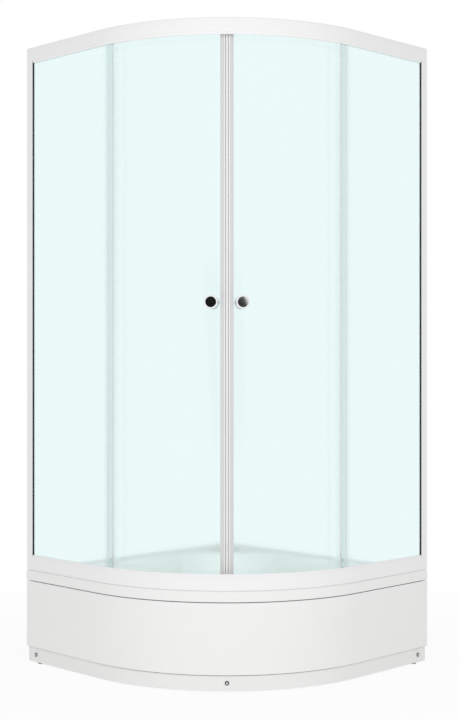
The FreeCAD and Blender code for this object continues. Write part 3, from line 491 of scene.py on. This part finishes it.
def milky_vinyl_painted_shade():
    """Clear vinyl, milky at its root on the pane's free edge and clear towards both tips. The grey-mint
    tint of its fin, darkest by the pane's edge, is painted shade, so the overlap shows as a soft shaded
    band. Both panes are alike in max(y, -x), along the pane, and in max(x, -y), through it."""
    material, tree, where = start_material("milky_vinyl_painted_shade")
    axes = add_node(tree, "ShaderNodeSeparateXYZ", {"Vector": where}).outputs
    tip, fin = OVERLAP_SEAL[0].x, PANE_EDGE.x - OVERLAP_SEAL[0].x
    fin_shaded, fin_clear = tip + 0.55 * fin, tip - 0.3 * fin
    nose_end = PANE_EDGE.y - 0.5 * MM
    spans = {
        "strip": ("Y", "X", PANE_EDGE.y, OVERLAP_SEAL[1].y),
        "fin": ("X", "Y", fin_shaded, fin_clear),
        "nose": ("Y", "X", PANE_EDGE.y, nose_end),
    }
    fade = {}
    for name, (first, second, start, end) in spans.items():
        other = add_node(tree, "ShaderNodeMath", {0: axes[second], 1: -1}, operation="MULTIPLY")
        pair = {0: axes[first], 1: other.outputs[0]}
        place = add_node(tree, "ShaderNodeMath", pair, operation="MAXIMUM").outputs[0]
        span = {"Value": place, "From Min": start, "From Max": end}
        ramp = add_node(tree, "ShaderNodeMapRange", span, interpolation_type="SMOOTHSTEP")
        fade[name] = ramp.outputs["Result"]
    # Painted shade: the seal's colour runs from the grey-mint fin tint by the pane's edge to clear at
    # the tips.
    ends = {0: fade["strip"], 1: fade["fin"]}
    clear = add_node(tree, "ShaderNodeMath", ends, operation="MAXIMUM").outputs[0]
    roots = {0: fade["nose"], 6: colour("milky"), 7: colour("fin")}
    milky = add_node(tree, "ShaderNodeMix", roots, data_type="RGBA").outputs[2]
    mix = {0: clear, 6: milky, 7: colour("clear")}
    finish_material(tree, {
        "Base Color": add_node(tree, "ShaderNodeMix", mix, data_type="RGBA").outputs[2],
        "Roughness": 0.15,
        "IOR": 1.08,
        "Transmission Weight": 1.0,
    })
    return material


def soft_vinyl():
    """Vinyl, extruded: white in the leading seals, grey in their wings, and tinted like the glass
    farther out. |x + y| is sqrt(2) times the distance from the diagonal, where the doors meet."""
    material, tree, where = start_material("soft_vinyl")
    axes = add_node(tree, "ShaderNodeSeparateXYZ", {"Vector": where}).outputs
    total = add_node(tree, "ShaderNodeMath", {0: axes["X"], 1: axes["Y"]}, operation="ADD")
    away = add_node(tree, "ShaderNodeMath", {0: total.outputs[0]}, operation="ABSOLUTE").outputs[0]
    start, end = (math.sqrt(2) * reach for reach in (sizes().wing_start, WING_END))
    beyond = add_node(tree, "ShaderNodeMath", {0: away, 1: end}, operation="GREATER_THAN").outputs[0]
    tints = {0: beyond, 6: mottled(tree, where, "vinyl", 50 * MM, 0.04), 7: colour("core")}
    plain = add_node(tree, "ShaderNodeMix", tints, data_type="RGBA").outputs[2]
    span = {0: away, 1: (start + end) / 2, 2: (end - start) / 2}
    wing = add_node(tree, "ShaderNodeMath", span, operation="COMPARE").outputs[0]
    mix = {0: wing, 6: plain, 7: colour("wing")}
    finish_material(tree, {
        "Base Color": add_node(tree, "ShaderNodeMix", mix, data_type="RGBA").outputs[2],
        "Roughness": uneven(tree, where, 30 * MM, 0.35, 0.45),
        "IOR": 1.53,
        "Normal": grain(tree, where, 1.5 * MM, 0.03 * MM, (1, 1, 0.05)),
    })
    return material


def polished_chrome():
    """Chrome plate on brass: a mirror with the faintest haze of handling."""
    material, tree, where = start_material("polished_chrome")
    finish_material(tree, {
        "Base Color": mottled(tree, where, "chrome", 20 * MM, 0.05),
        "Metallic": 1.0,
        "Roughness": uneven(tree, where, 10 * MM, 0.02, 0.06),
    })
    return material


def zinc_plated_steel():
    """Galvanised steel tube: pale grey with a soft spangle, about a centimetre across."""
    material, tree, where = start_material("zinc_plated_steel")
    spangle, depth = 9 * MM, 0.18
    cells = add_node(tree, "ShaderNodeTexVoronoi", {"Vector": where, "Scale": 1 / spangle})
    base = colour("zinc")
    mix = {0: cells.outputs["Distance"], 6: base, 7: darker(base, depth)}
    finish_material(tree, {
        "Base Color": add_node(tree, "ShaderNodeMix", mix, data_type="RGBA").outputs[2],
        "Metallic": 1.0,
        "Roughness": uneven(tree, where, 10 * MM, 0.35, 0.5),
    })
    return material


def black_moulding():
    """Black glass filled nylon with a coarse moulded grain."""
    material, tree, where = start_material("black_moulding")
    finish_material(tree, {
        "Base Color": mottled(tree, where, "black", 10 * MM, 0.2),
        "Roughness": uneven(tree, where, 10 * MM, 0.5, 0.62),
        "IOR": 1.5,
        "Normal": grain(tree, where, 1.2 * MM, 0.08 * MM),
    })
    return material


def turned_nylon():
    """White nylon, turned: waxy and slightly yellow."""
    material, tree, where = start_material("turned_nylon")
    finish_material(tree, {
        "Base Color": mottled(tree, where, "nylon", 20 * MM, 0.04),
        "Roughness": uneven(tree, where, 10 * MM, 0.35, 0.48),
        "IOR": 1.53,
        "Normal": grain(tree, where, 1 * MM, 0.03 * MM),
    })
    return material


FINISHES = {
    "white_acrylic": vacuum_formed_acrylic,
    "white_plastic": moulded_plastic,
    "white_aluminium": powder_coated_aluminium,
    "frosted_glass": satin_etched_glass,
    "black_rubber": extruded_rubber,
    "white_vinyl": soft_vinyl,
    "clear_vinyl": milky_vinyl_painted_shade,
    "chrome": polished_chrome,
    "zinc_steel": zinc_plated_steel,
    "black_plastic": black_moulding,
    "white_nylon": turned_nylon,
}
made_finishes = {}


def finish(slot):
    """The material of one of the record's slots, made once."""
    if slot not in made_finishes:
        made_finishes[slot] = FINISHES[slot]()
    return made_finishes[slot]


# Shapes


def rounded(points, reach, steps=4):
    """A closed outline with its corners rounded: each corner becomes a parabola between two points at
    most reach away along its sides, P(u) = (1-u)^2 A + 2u(1-u) corner + u^2 B."""
    corner = np.asarray(points, float)
    before, after = np.roll(corner, 1, 0) - corner, np.roll(corner, -1, 0) - corner
    run_before, run_after = np.linalg.norm(before, axis=1), np.linalg.norm(after, axis=1)
    cut = np.minimum(reach, LONGEST_CUT * np.minimum(run_before, run_after))
    start = corner + before * (cut / run_before)[:, None]
    end = corner + after * (cut / run_after)[:, None]
    u = np.linspace(0, 1, steps + 1)[None, :, None]
    curve = (1 - u) ** 2 * start[:, None] + 2 * u * (1 - u) * corner[:, None] + u**2 * end[:, None]
    return curve.reshape(-1, 2)


def front_path(start, end):
    """Points on the tray's outer edge and their outward directions, from the right wall round to the
    left. start and end are angles on the quarter round; the straights are added where they are whole."""
    angle = np.linspace(-start, -end, sizes().arc_steps + 1)
    outward = np.stack([np.cos(angle), np.sin(angle)], 1)
    edge = ARC_CENTRE + ARC_RADIUS * outward
    if start == 0:
        edge = np.vstack([[HALF, HALF], edge])
        outward = np.vstack([[1, 0], outward])
    if end == QUARTER:
        edge = np.vstack([edge, [-HALF, -HALF]])
        outward = np.vstack([outward, [0, -1]])
    return edge, outward


def carried_round(section, start=0.0, end=QUARTER):
    """A section of (set, height) carried round the front: P(i, j) = edge(i) - set(j) outward(i)."""
    edge, outward = front_path(start, end)
    sets, heights = np.asarray(section, float).T
    plan = edge[:, None] - sets[None, :, None] * outward[:, None]
    rise = np.broadcast_to(heights[None, :, None], plan.shape[:2] + (1,))
    return np.concatenate([plan, rise], 2)


def spun(profile, origin, axis, steps=64):
    """A profile of (along, radius) turned about a level axis: P(i, j) = origin + along(j) axis +
    radius(j) (cos(i) side + sin(i) up)."""
    axis = np.asarray(axis, float)
    side = np.cross([0, 0, 1], axis)
    up = np.cross(axis, side)
    turn = np.linspace(0, 2 * math.pi, steps, endpoint=False)
    spoke = np.cos(turn)[:, None] * side + np.sin(turn)[:, None] * up
    along, radius = np.asarray(profile, float).T
    return origin + along[None, :, None] * axis + radius[None, :, None] * spoke[:, None]


def grid_faces(rows, columns, wrap_rows, wrap_columns):
    """Quads of a grid of points, row by row, joined round where a direction wraps."""
    i = np.arange(rows if wrap_rows else rows - 1)[:, None]
    j = np.arange(columns if wrap_columns else columns - 1)[None, :]
    i_next, j_next = (i + 1) % rows, (j + 1) % columns
    corners = [i * columns + j, i_next * columns + j, i_next * columns + j_next, i * columns + j_next]
    return np.stack(np.broadcast_arrays(*corners), -1).reshape(-1, 4)


def make_piece(name, grids, slot, body=BODY, caps=False, wrap_rows=False, wrap_columns=True):
    """One object from grids of points. caps closes the first and last row of each, and wrap_rows and
    wrap_columns join a grid's end to its start."""
    points, faces, start = [], [], 0
    for grid in grids:
        rows, columns = grid.shape[:2]
        points.append(grid.reshape(-1, 3))
        faces += (grid_faces(rows, columns, wrap_rows, wrap_columns) + start).tolist()
        if caps:
            last = start + (rows - 1) * columns
            faces += [list(range(start, start + columns)), list(range(last, last + columns))]
        start += rows * columns
    mesh = bpy.data.meshes.new(name)
    mesh.from_pydata(np.concatenate(points), [], faces)
    work = bmesh.new()
    work.from_mesh(mesh)
    bmesh.ops.remove_doubles(work, verts=work.verts, dist=WELD)
    bmesh.ops.recalc_face_normals(work, faces=work.faces)
    work.to_mesh(mesh)
    work.free()
    mesh.shade_smooth()
    mesh.set_sharp_from_angle(angle=SHARP_EDGE)
    mesh.materials.append(finish(slot))
    piece = bpy.data.objects.new(name, mesh)
    bpy.context.scene.collection.objects.link(piece)
    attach(piece, body)
    return piece


# Pieces


def at_edge(section, edge, way):
    """A section of (set, height) with its heights counted from a rail's edge, upwards where way is 1 and
    downwards where it is -1."""
    return section * (1, way) + (0, edge)


def rail_section():
    """Section of a rail from the edge beside the glass: face, web, track with its lip, sole, fin and the
    glazing pocket, as (set, height)."""
    size = sizes()
    face, inside = RAIL_SET, RAIL_SET + size.wall
    fin = inside + size.pocket
    fin_back = fin + size.wall
    lip = fin_back + size.track
    back = lip + size.wall
    web = RAIL_HEIGHT - size.wall
    track = size.track_lift + size.wall
    top = track + size.track_lip
    outline = [
        (face, 0), (face, RAIL_HEIGHT), (back, RAIL_HEIGHT), (back, web), (fin_back, web),
        (fin_back, track), (lip, track), (lip, top), (back, top), (back, 0), (fin, 0),
        (fin, size.pocket_depth), (inside, size.pocket_depth), (inside, 0),
    ]
    reach = np.full(len(outline), size.lip_round)
    reach[1:3] = size.edge_round
    return rounded(outline, reach)


def infill_section():
    """Section of the strip that closes the glazing pocket, flush with the rail's edge."""
    size = sizes()
    near = RAIL_SET + size.wall
    far = near + size.pocket
    outline = [(near, 0), (far, 0), (far, size.track_lift), (near, size.track_lift)]
    return rounded(outline, size.lip_round)


def cover_section():
    """Section of the strip that stands on the rail's front edge before the glass and leans back."""
    size = sizes()
    lean, rise = size.cover_lean, -size.cover_rise
    near, far = RAIL_SET, RAIL_SET + size.wall
    outline = [(near, 0), (near + lean, rise), (far + lean, rise), (far, 0)]
    return rounded(outline, size.lip_round)


def build_rails():
    """Both rails with rounded edges, the infill that closes the glazing pocket between the panes, and
    the cover strip along the front edge from one wall profile to the other."""
    low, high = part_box("top_rail")[0].z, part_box("bottom_rail")[1].z
    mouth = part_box("right_wall_profile")[0].y
    start = sizes().infill_angle
    for name, edge, way in (("top_rail", low, 1), ("bottom_rail", high, -1)):
        shape = carried_round(at_edge(rail_section(), edge, way))
        rail = make_piece(f"{name}_extrusion", [shape], "white_aluminium", caps=True)
        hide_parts(name)
        strip = carried_round(at_edge(infill_section(), edge, way), start, QUARTER - start)
        make_piece(f"{name}_infill", [strip], "white_plastic", caps=True)
        cover = carried_round(at_edge(cover_section(), edge, way))
        cover[0, :, 1], cover[-1, :, 0] = mouth, -mouth
        make_piece(f"{name}_cover", [cover], "white_aluminium", caps=True)


def knob_profile():
    """Flange, waist and head of a knob with a bevelled rim and a flat face, as (along, radius). Its
    corners are rounded, and the ring just inside the rim keeps the face flat. The last two corners only
    close the outline and are cut off again, with half of the first."""
    deep, face = sizes().knob_depth, sizes().knob_face
    outline = np.array([
        (0, 19.5), (2.6, 19.5), (3.5, 18.5), (3.5, 10.5), (9, 9.6), (15, 10), (20, 15),
        (24, 19.6), (25.5, 20), (34.4, 20), (37, 16.2), (37, 12), (0, 12),
    ]) * MM
    outline[:, 0] *= deep / outline[-2, 0]
    outline[-3, 1] = face
    corner = KNOB_STEPS + 1
    smooth = rounded(outline, KNOB_ROUND, KNOB_STEPS)[corner // 2 : -2 * corner]
    return np.vstack([[0, 0], smooth, [deep, face - FACE_RING], [deep, 0]])


def reach_along(node, direction):
    """Least and greatest distance of a solid's points from the arc's axis, along a level direction."""
    mesh = frame["nodes"][node].data
    points = np.empty(len(mesh.vertices) * 3)
    mesh.vertices.foreach_get("co", points)
    reach = (points.reshape(-1, 3)[:, :2] - ARC_CENTRE) @ direction
    return reach.min(), reach.max()


def build_knobs():
    """A chrome knob on each face of each door, its flange where the solid's is."""
    angle = sizes().knob_angle
    right = np.array([math.cos(angle), -math.sin(angle)])
    for side, direction in zip(SIDES, (right, -right[::-1])):
        low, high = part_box(f"{side}_knob")
        for node, pick, way in ((f"{side}_knob", 0, 1), (f"{side}_inner_knob", 1, -1)):
            seat = ARC_CENTRE + reach_along(node, direction)[pick] * direction
            shape = spun(knob_profile(), [*seat, (low.z + high.z) / 2], [*(way * direction), 0])
            knob = make_piece(
                f"{node}_turned", [shape], "chrome", f"{side}_door", wrap_rows=True, wrap_columns=False
            )
            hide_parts(node)


def upright(outline, low, high):
    """A closed outline of (x, y) carried from one height to another."""
    plan = np.broadcast_to(np.asarray(outline)[None], (2, len(outline), 2))
    rise = np.broadcast_to(np.array([low, high])[:, None, None], (2, len(outline), 1))
    return np.concatenate([plan, rise], 2)


def on_side(side, outline):
    """An outline of (x, y) on the right side, mirrored in the diagonal to (-y, -x) for the left."""
    return outline if side == "right" else -outline[:, ::-1]


def build_seal_cores():
    """The tinted core in each overlap seal, which covers the cut edge of the fixed pane."""
    low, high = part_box("right_fixed_glass")
    thin = sizes().core_wall
    far = low.y - CORE_GAP * thin
    near = far - thin
    outline = np.array([(low.x, near), (high.x, near), (high.x, far), (low.x, far)])
    for side in SIDES:
        bottom, top = (corner.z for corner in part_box(f"{side}_fixed_seal"))
        core = upright(on_side(side, outline), bottom, top)
        make_piece(f"{side}_seal_core", [core], "white_vinyl", caps=True)


def build_gaskets():
    """The black gasket in the mouth of each wall profile: a strip with a slim lip before the glass, and
    one behind the glass that ends inside the profile."""
    size = sizes()
    pane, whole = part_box("right_fixed_glass"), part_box("right_glazing_gasket")
    near, lip, outer = pane[1].x, whole[1].x, HALF - RAIL_SET - size.wall
    mouth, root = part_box("right_wall_profile")[0].y, whole[1].y
    tip, start = mouth - size.gasket_lip, mouth + size.gasket_lip
    front = np.array([
        (near, root), (near, tip), (lip, tip), (lip, mouth), (outer, mouth), (outer, root),
    ])
    back = np.array([(near, root), (near, start), (outer, start), (outer, root)])
    back[:, 0] = pane[0].x + pane[1].x - back[:, 0]
    for side in SIDES:
        strips = [upright(on_side(side, strip), whole[0].z, whole[1].z) for strip in (front, back)]
        gasket = make_piece(f"{side}_wall_gasket", strips, "black_rubber", caps=True)
        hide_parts(f"{side}_glazing_gasket")


def build_magnets():
    """The dark magnetic strip in the groove of each door's leading seal, and the grey wing that runs
    from the seal's face down to the glass. A section's points are (distance from the doors' meeting
    line, distance from the arc's axis)."""
    size = sizes()
    near, far = size.groove_place - size.magnet_width / 2, size.groove_place + size.magnet_width / 2
    start, step = size.wing_start, size.wing_step
    for side, along in zip(SIDES, (ACROSS, -ACROSS)):
        node = f"{side}_magnet_seal"
        low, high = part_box(node)
        front, tip = reach_along(node, DIAGONAL)[1], reach_along(node, along)[1]
        floor = front - size.groove_depth
        crest = floor + size.magnet_rise
        strip = [(near, floor), (near, crest), (far, crest), (far, floor)]
        face, back = front + size.wing_rise, front - size.wing_drop
        wing = [
            (start, front), (start, face), (step, face), (tip, back + size.wing_rise),
            (tip, back), (step, back), (step, front),
        ]
        trims = (("magnet", "black_rubber", strip), ("seal_wing", "white_vinyl", wing))
        for name, slot, section in trims:
            place, reach = np.array(section).T
            outline = ARC_CENTRE + reach[:, None] * DIAGONAL + place[:, None] * along
            shape = upright(outline, low.z, high.z)
            make_piece(f"{side}_{name}", [shape], slot, f"{side}_door", caps=True)


def screw_head(centre, axis):
    """A domed head with a cross recess: height = rise (sqrt(1 - r^2) - depth cross), where cross is 1
    inside the two arms and falls to 0 over their soft edges."""
    axis = np.asarray(axis, float)
    side = np.cross([0, 0, 1], axis)
    reach = sizes().screw_radius
    r = np.linspace(0, 1, SCREW_RINGS + 1)[None, :]
    turn = np.linspace(0, 2 * math.pi, SCREW_STEPS, endpoint=False)[:, None]
    across, up = r * np.cos(turn), r * np.sin(turn)
    arm = np.minimum(np.abs(across), np.abs(up))
    cross = np.clip((ARM_WIDTH - arm) / ARM_EDGE, 0, 1) * np.clip((ARM_LENGTH - r) / ARM_END, 0, 1)
    rise = sizes().screw_rise * (np.sqrt(np.clip(1 - r**2, 0, 1)) - RECESS_DEPTH * cross)
    plan = across[..., None] * side + up[..., None] * np.array([0, 0, 1.0])
    return np.asarray(centre) + plan * reach + rise[..., None] * axis


def washer_profile():
    """A half round ring about the screw head, as (along, radius): radius = middle + half cos u, along =
    rise sin u."""
    size = sizes()
    turn = np.linspace(0, math.pi, WASHER_STEPS + 1)
    inner, outer = WASHER_START * size.screw_radius, size.washer_radius
    middle, half = (inner + outer) / 2, (outer - inner) / 2
    return np.stack([size.washer_rise * np.sin(turn), middle + half * np.cos(turn)], 1)


def build_screws():
    """The kickboard's three screws, each in a dark rubber washer: one near each end and one on the
    diagonal. Their box is as high as a head is wide."""
    low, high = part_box("kickboard_screws")
    height = (low.z + high.z) / 2
    rise = sizes().screw_rise
    side_y = high.y - (high.z - low.z) / 2
    front_reach = ARC_RADIUS - (HALF - high.x) - rise
    places = (
        ((high.x - rise, side_y), (1, 0)),
        ((-side_y, rise - high.x), (0, -1)),
        (ARC_CENTRE + front_reach * DIAGONAL, DIAGONAL),
    )
    heads = [screw_head([*spot, height], [*out, 0]) for spot, out in places]
    screws = make_piece("cross_head_screws", heads, "chrome", wrap_rows=True, wrap_columns=False)
    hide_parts("kickboard_screws")
    rings = [spun(washer_profile(), [*spot, height], [*out, 0]) for spot, out in places]
    make_piece("screw_washers", rings, "black_rubber", wrap_rows=True, wrap_columns=True)


def build_painted_shadow_strip():
    """A strip of the dark rubber finish on the kickboard's face, in the corner under the apron's edge.
    It is painted shadow: it stands in for the shade that the apron's edge casts there.
    """
    size = sizes()
    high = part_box("tray_apron")[0].z
    low, far = high - size.painted_shadow_height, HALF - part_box("kickboard")[1].x
    near = far - size.painted_shadow_rise
    strip = carried_round([(near, high), (far, high), (far, low), (near, low)])
    make_piece("kickboard_painted_shadow", [strip], "black_rubber", caps=True)


def dress_solids():
    """Every solid gets the finish of its slot in the record."""
    for part in frame["record"]["subparts"]:
        solid = frame["nodes"][part["node"]]
        solid.data.materials.clear()
        solid.data.materials.append(finish(part["material_slot"]))
        # Panes and clear seals hold back no light, so the tray behind them is as light as in a lit room.
        if part["material_slot"] in SEE_THROUGH:
            solid.visible_shadow = solid.visible_diffuse = False


# Stage


def seen_directly(tree):
    """1 for what the camera, reflections and glass see, 0 for light that falls on the object."""
    path = add_node(tree, "ShaderNodeLightPath")
    both = {0: path.outputs["Is Camera Ray"], 1: path.outputs["Is Glossy Ray"]}
    first = add_node(tree, "ShaderNodeMath", both, operation="MAXIMUM")
    all_three = {0: first.outputs[0], 1: path.outputs["Is Transmission Ray"]}
    return add_node(tree, "ShaderNodeMath", all_three, operation="MAXIMUM").outputs[0]


def pale_floor():
    """A plain pale floor, lit from below like a light table, that the camera and reflections see as
    nearly white. It keeps the object's shadow, and is quite white farther off, so no horizon shows."""
    material, tree, where = start_material("pale_floor")
    away = add_node(tree, "ShaderNodeVectorMath", {0: where}, operation="LENGTH").outputs["Value"]
    near, far = FLOOR_FADE
    span = {"Value": away, "From Min": near, "From Max": far, "To Min": FLOOR_WHITE, "To Max": 1.0}
    fade = add_node(tree, "ShaderNodeMapRange", span).outputs["Result"]
    shown = add_node(tree, "ShaderNodeMath", {0: seen_directly(tree), 1: fade}, operation="MULTIPLY")
    glow = add_node(tree, "ShaderNodeMath", {0: shown.outputs[0], 1: FLOOR_GLOW}, operation="MAXIMUM")
    matt = add_node(tree, "ShaderNodeBsdfDiffuse", {"Color": colour("floor")})
    white = add_node(tree, "ShaderNodeEmission", {"Strength": 1.0})
    mix = {0: glow.outputs[0], 1: matt.outputs[0], 2: white.outputs[0]}
    surface = add_node(tree, "ShaderNodeMixShader", mix)
    add_node(tree, "ShaderNodeOutputMaterial", {"Surface": surface.outputs[0]})
    return material


def black_cloth():
    """Black studio cloth, which only reflections see."""
    material, tree, where = start_material("black_cloth")
    finish_material(tree, {
        "Base Color": colour("black"),
        "Roughness": 0.9,
        "Specular IOR Level": 0,
        "Normal": grain(tree, where, 20 * MM, 1 * MM),
    })
    return material


def build_world():
    """White to the eye, and a plain even light on the object."""
    world = bpy.data.worlds.new("studio")
    bpy.context.scene.world = world
    world.use_nodes = True
    tree = world.node_tree
    tree.nodes.clear()
    span = {"Value": seen_directly(tree), "To Min": WORLD_LIGHT, "To Max": 1.0}
    level = add_node(tree, "ShaderNodeMapRange", span).outputs["Result"]
    light = add_node(tree, "ShaderNodeBackground", {"Color": [1, 1, 1, 1], "Strength": level})
    add_node(tree, "ShaderNodeOutputWorld", {"Surface": light.outputs[0]})


def add_plane(name, material, centre, right, up):
    """A flat rectangle of the stage: P(u, v) = centre + u right + v up, for u and v of -1 and 1."""
    centre, right, up = (np.asarray(v, float) for v in (centre, right, up))
    corners = [centre - right - up, centre + right - up, centre + right + up, centre - right + up]
    mesh = bpy.data.meshes.new(name)
    mesh.from_pydata(corners, [], [(0, 1, 2, 3)])
    mesh.materials.append(material)
    plane = bpy.data.objects.new(name, mesh)
    bpy.context.scene.collection.objects.link(plane)
    return plane


def add_lamp(name, place, target, size, energy, beam):
    """A square soft lamp at a place, turned to a target. beam is its spread in degrees."""
    data = bpy.data.lights.new(name, "AREA")
    data.size = size
    data.energy = energy
    data.spread = math.radians(beam)
    lamp = bpy.data.objects.new(name, data)
    bpy.context.scene.collection.objects.link(lamp)
    lamp.location = place
    away = np.asarray(target, float) - np.asarray(place, float)
    lamp.rotation_mode = "QUATERNION"
    lamp.rotation_quaternion = Vector(away).to_track_quat("-Z", "Y")
    lamp.visible_camera = lamp.visible_glossy = lamp.visible_transmission = False


def add_camera():
    """A level camera on the diagonal, with the shift of the photograph's framing."""
    data = bpy.data.cameras.new("camera")
    data.lens = LENS
    data.sensor_width = SENSOR
    data.shift_x, data.shift_y = FRAME_SHIFT
    camera = bpy.data.objects.new("camera", data)
    bpy.context.scene.collection.objects.link(camera)
    camera.location = CAMERA_PLACE
    camera.rotation_euler = (math.pi / 2, 0, math.pi / 4)
    bpy.context.scene.camera = camera


def build_stage():
    """Floor, even white light, a soft lamp in front, small ones in the basin, a cloth that darkens the
    chrome's reflections, and the camera."""
    bpy.context.scene.view_settings.view_transform = "Standard"
    build_world()
    add_plane("studio_floor", pale_floor(), (0, 0, 0), (FLOOR_REACH, 0, 0), (0, FLOOR_REACH, 0))
    cloth = add_plane("reflected_cloth", black_cloth(), CLOTH_PLACE, *CLOTH_HALVES)
    cloth.visible_camera = cloth.visible_diffuse = False
    cloth.visible_transmission = cloth.visible_shadow = False
    add_camera()
    for lamp in LAMPS:
        add_lamp(*lamp)


class SHOWER_OT_solids(bpy.types.Operator):
    """Gives every solid its finish"""

    bl_idname = "shower.solids"
    bl_label = "Dress the solids"

    def execute(self, context):
        dress_solids()
        return {"FINISHED"}


class SHOWER_OT_rails(bpy.types.Operator):
    """Makes the two rails, their infills and their cover strips"""

    bl_idname = "shower.rails"
    bl_label = "Rails"

    def execute(self, context):
        build_rails()
        return {"FINISHED"}


class SHOWER_OT_knobs(bpy.types.Operator):
    """Makes the turned knobs of both doors"""

    bl_idname = "shower.knobs"
    bl_label = "Knobs"

    def execute(self, context):
        build_knobs()
        return {"FINISHED"}


class SHOWER_OT_seals(bpy.types.Operator):
    """Makes the door seals' magnetic strips and wings, the overlap seals' cores and the wall gaskets"""

    bl_idname = "shower.seals"
    bl_label = "Seals"

    def execute(self, context):
        build_magnets()
        build_seal_cores()
        build_gaskets()
        return {"FINISHED"}


class SHOWER_OT_screws(bpy.types.Operator):
    """Makes the kickboard's screws with their washers, and the dark strip that paints the apron's shadow
    on it
    """

    bl_idname = "shower.screws"
    bl_label = "Kickboard trim"

    def execute(self, context):
        build_screws()
        build_painted_shadow_strip()
        return {"FINISHED"}


class SHOWER_OT_stage(bpy.types.Operator):
    """Sets the floor, the light, the cloth and the camera"""

    bl_idname = "shower.stage"
    bl_label = "Stage"

    def execute(self, context):
        build_stage()
        return {"FINISHED"}


OPERATORS = (
    SHOWER_OT_solids, SHOWER_OT_rails, SHOWER_OT_knobs,
    SHOWER_OT_seals, SHOWER_OT_screws, SHOWER_OT_stage,
)


class SHOWER_PT_panel(bpy.types.Panel):
    """Lists the operators in the sidebar"""

    bl_idname = "SHOWER_PT_panel"
    bl_label = "Shower enclosure"
    bl_space_type = "VIEW_3D"
    bl_region_type = "UI"
    bl_category = "Shower"

    def draw(self, context):
        for operator in OPERATORS:
            self.layout.operator(operator.bl_idname)


CLASSES = (ShowerSizes, ShowerColours, *OPERATORS, SHOWER_PT_panel)


def register():
    for item in CLASSES:
        bpy.utils.register_class(item)
    bpy.types.Scene.shower_sizes = PointerProperty(type=ShowerSizes)
    bpy.types.Scene.shower_colours = PointerProperty(type=ShowerColours)


def unregister():
    del bpy.types.Scene.shower_colours
    del bpy.types.Scene.shower_sizes
    for item in reversed(CLASSES):
        bpy.utils.unregister_class(item)


def main():
    register()
    bpy.ops.shower.solids()
    bpy.ops.shower.rails()
    bpy.ops.shower.knobs()
    bpy.ops.shower.seals()
    bpy.ops.shower.screws()
    bpy.ops.shower.stage()


if __name__ == "__main__":
    main()
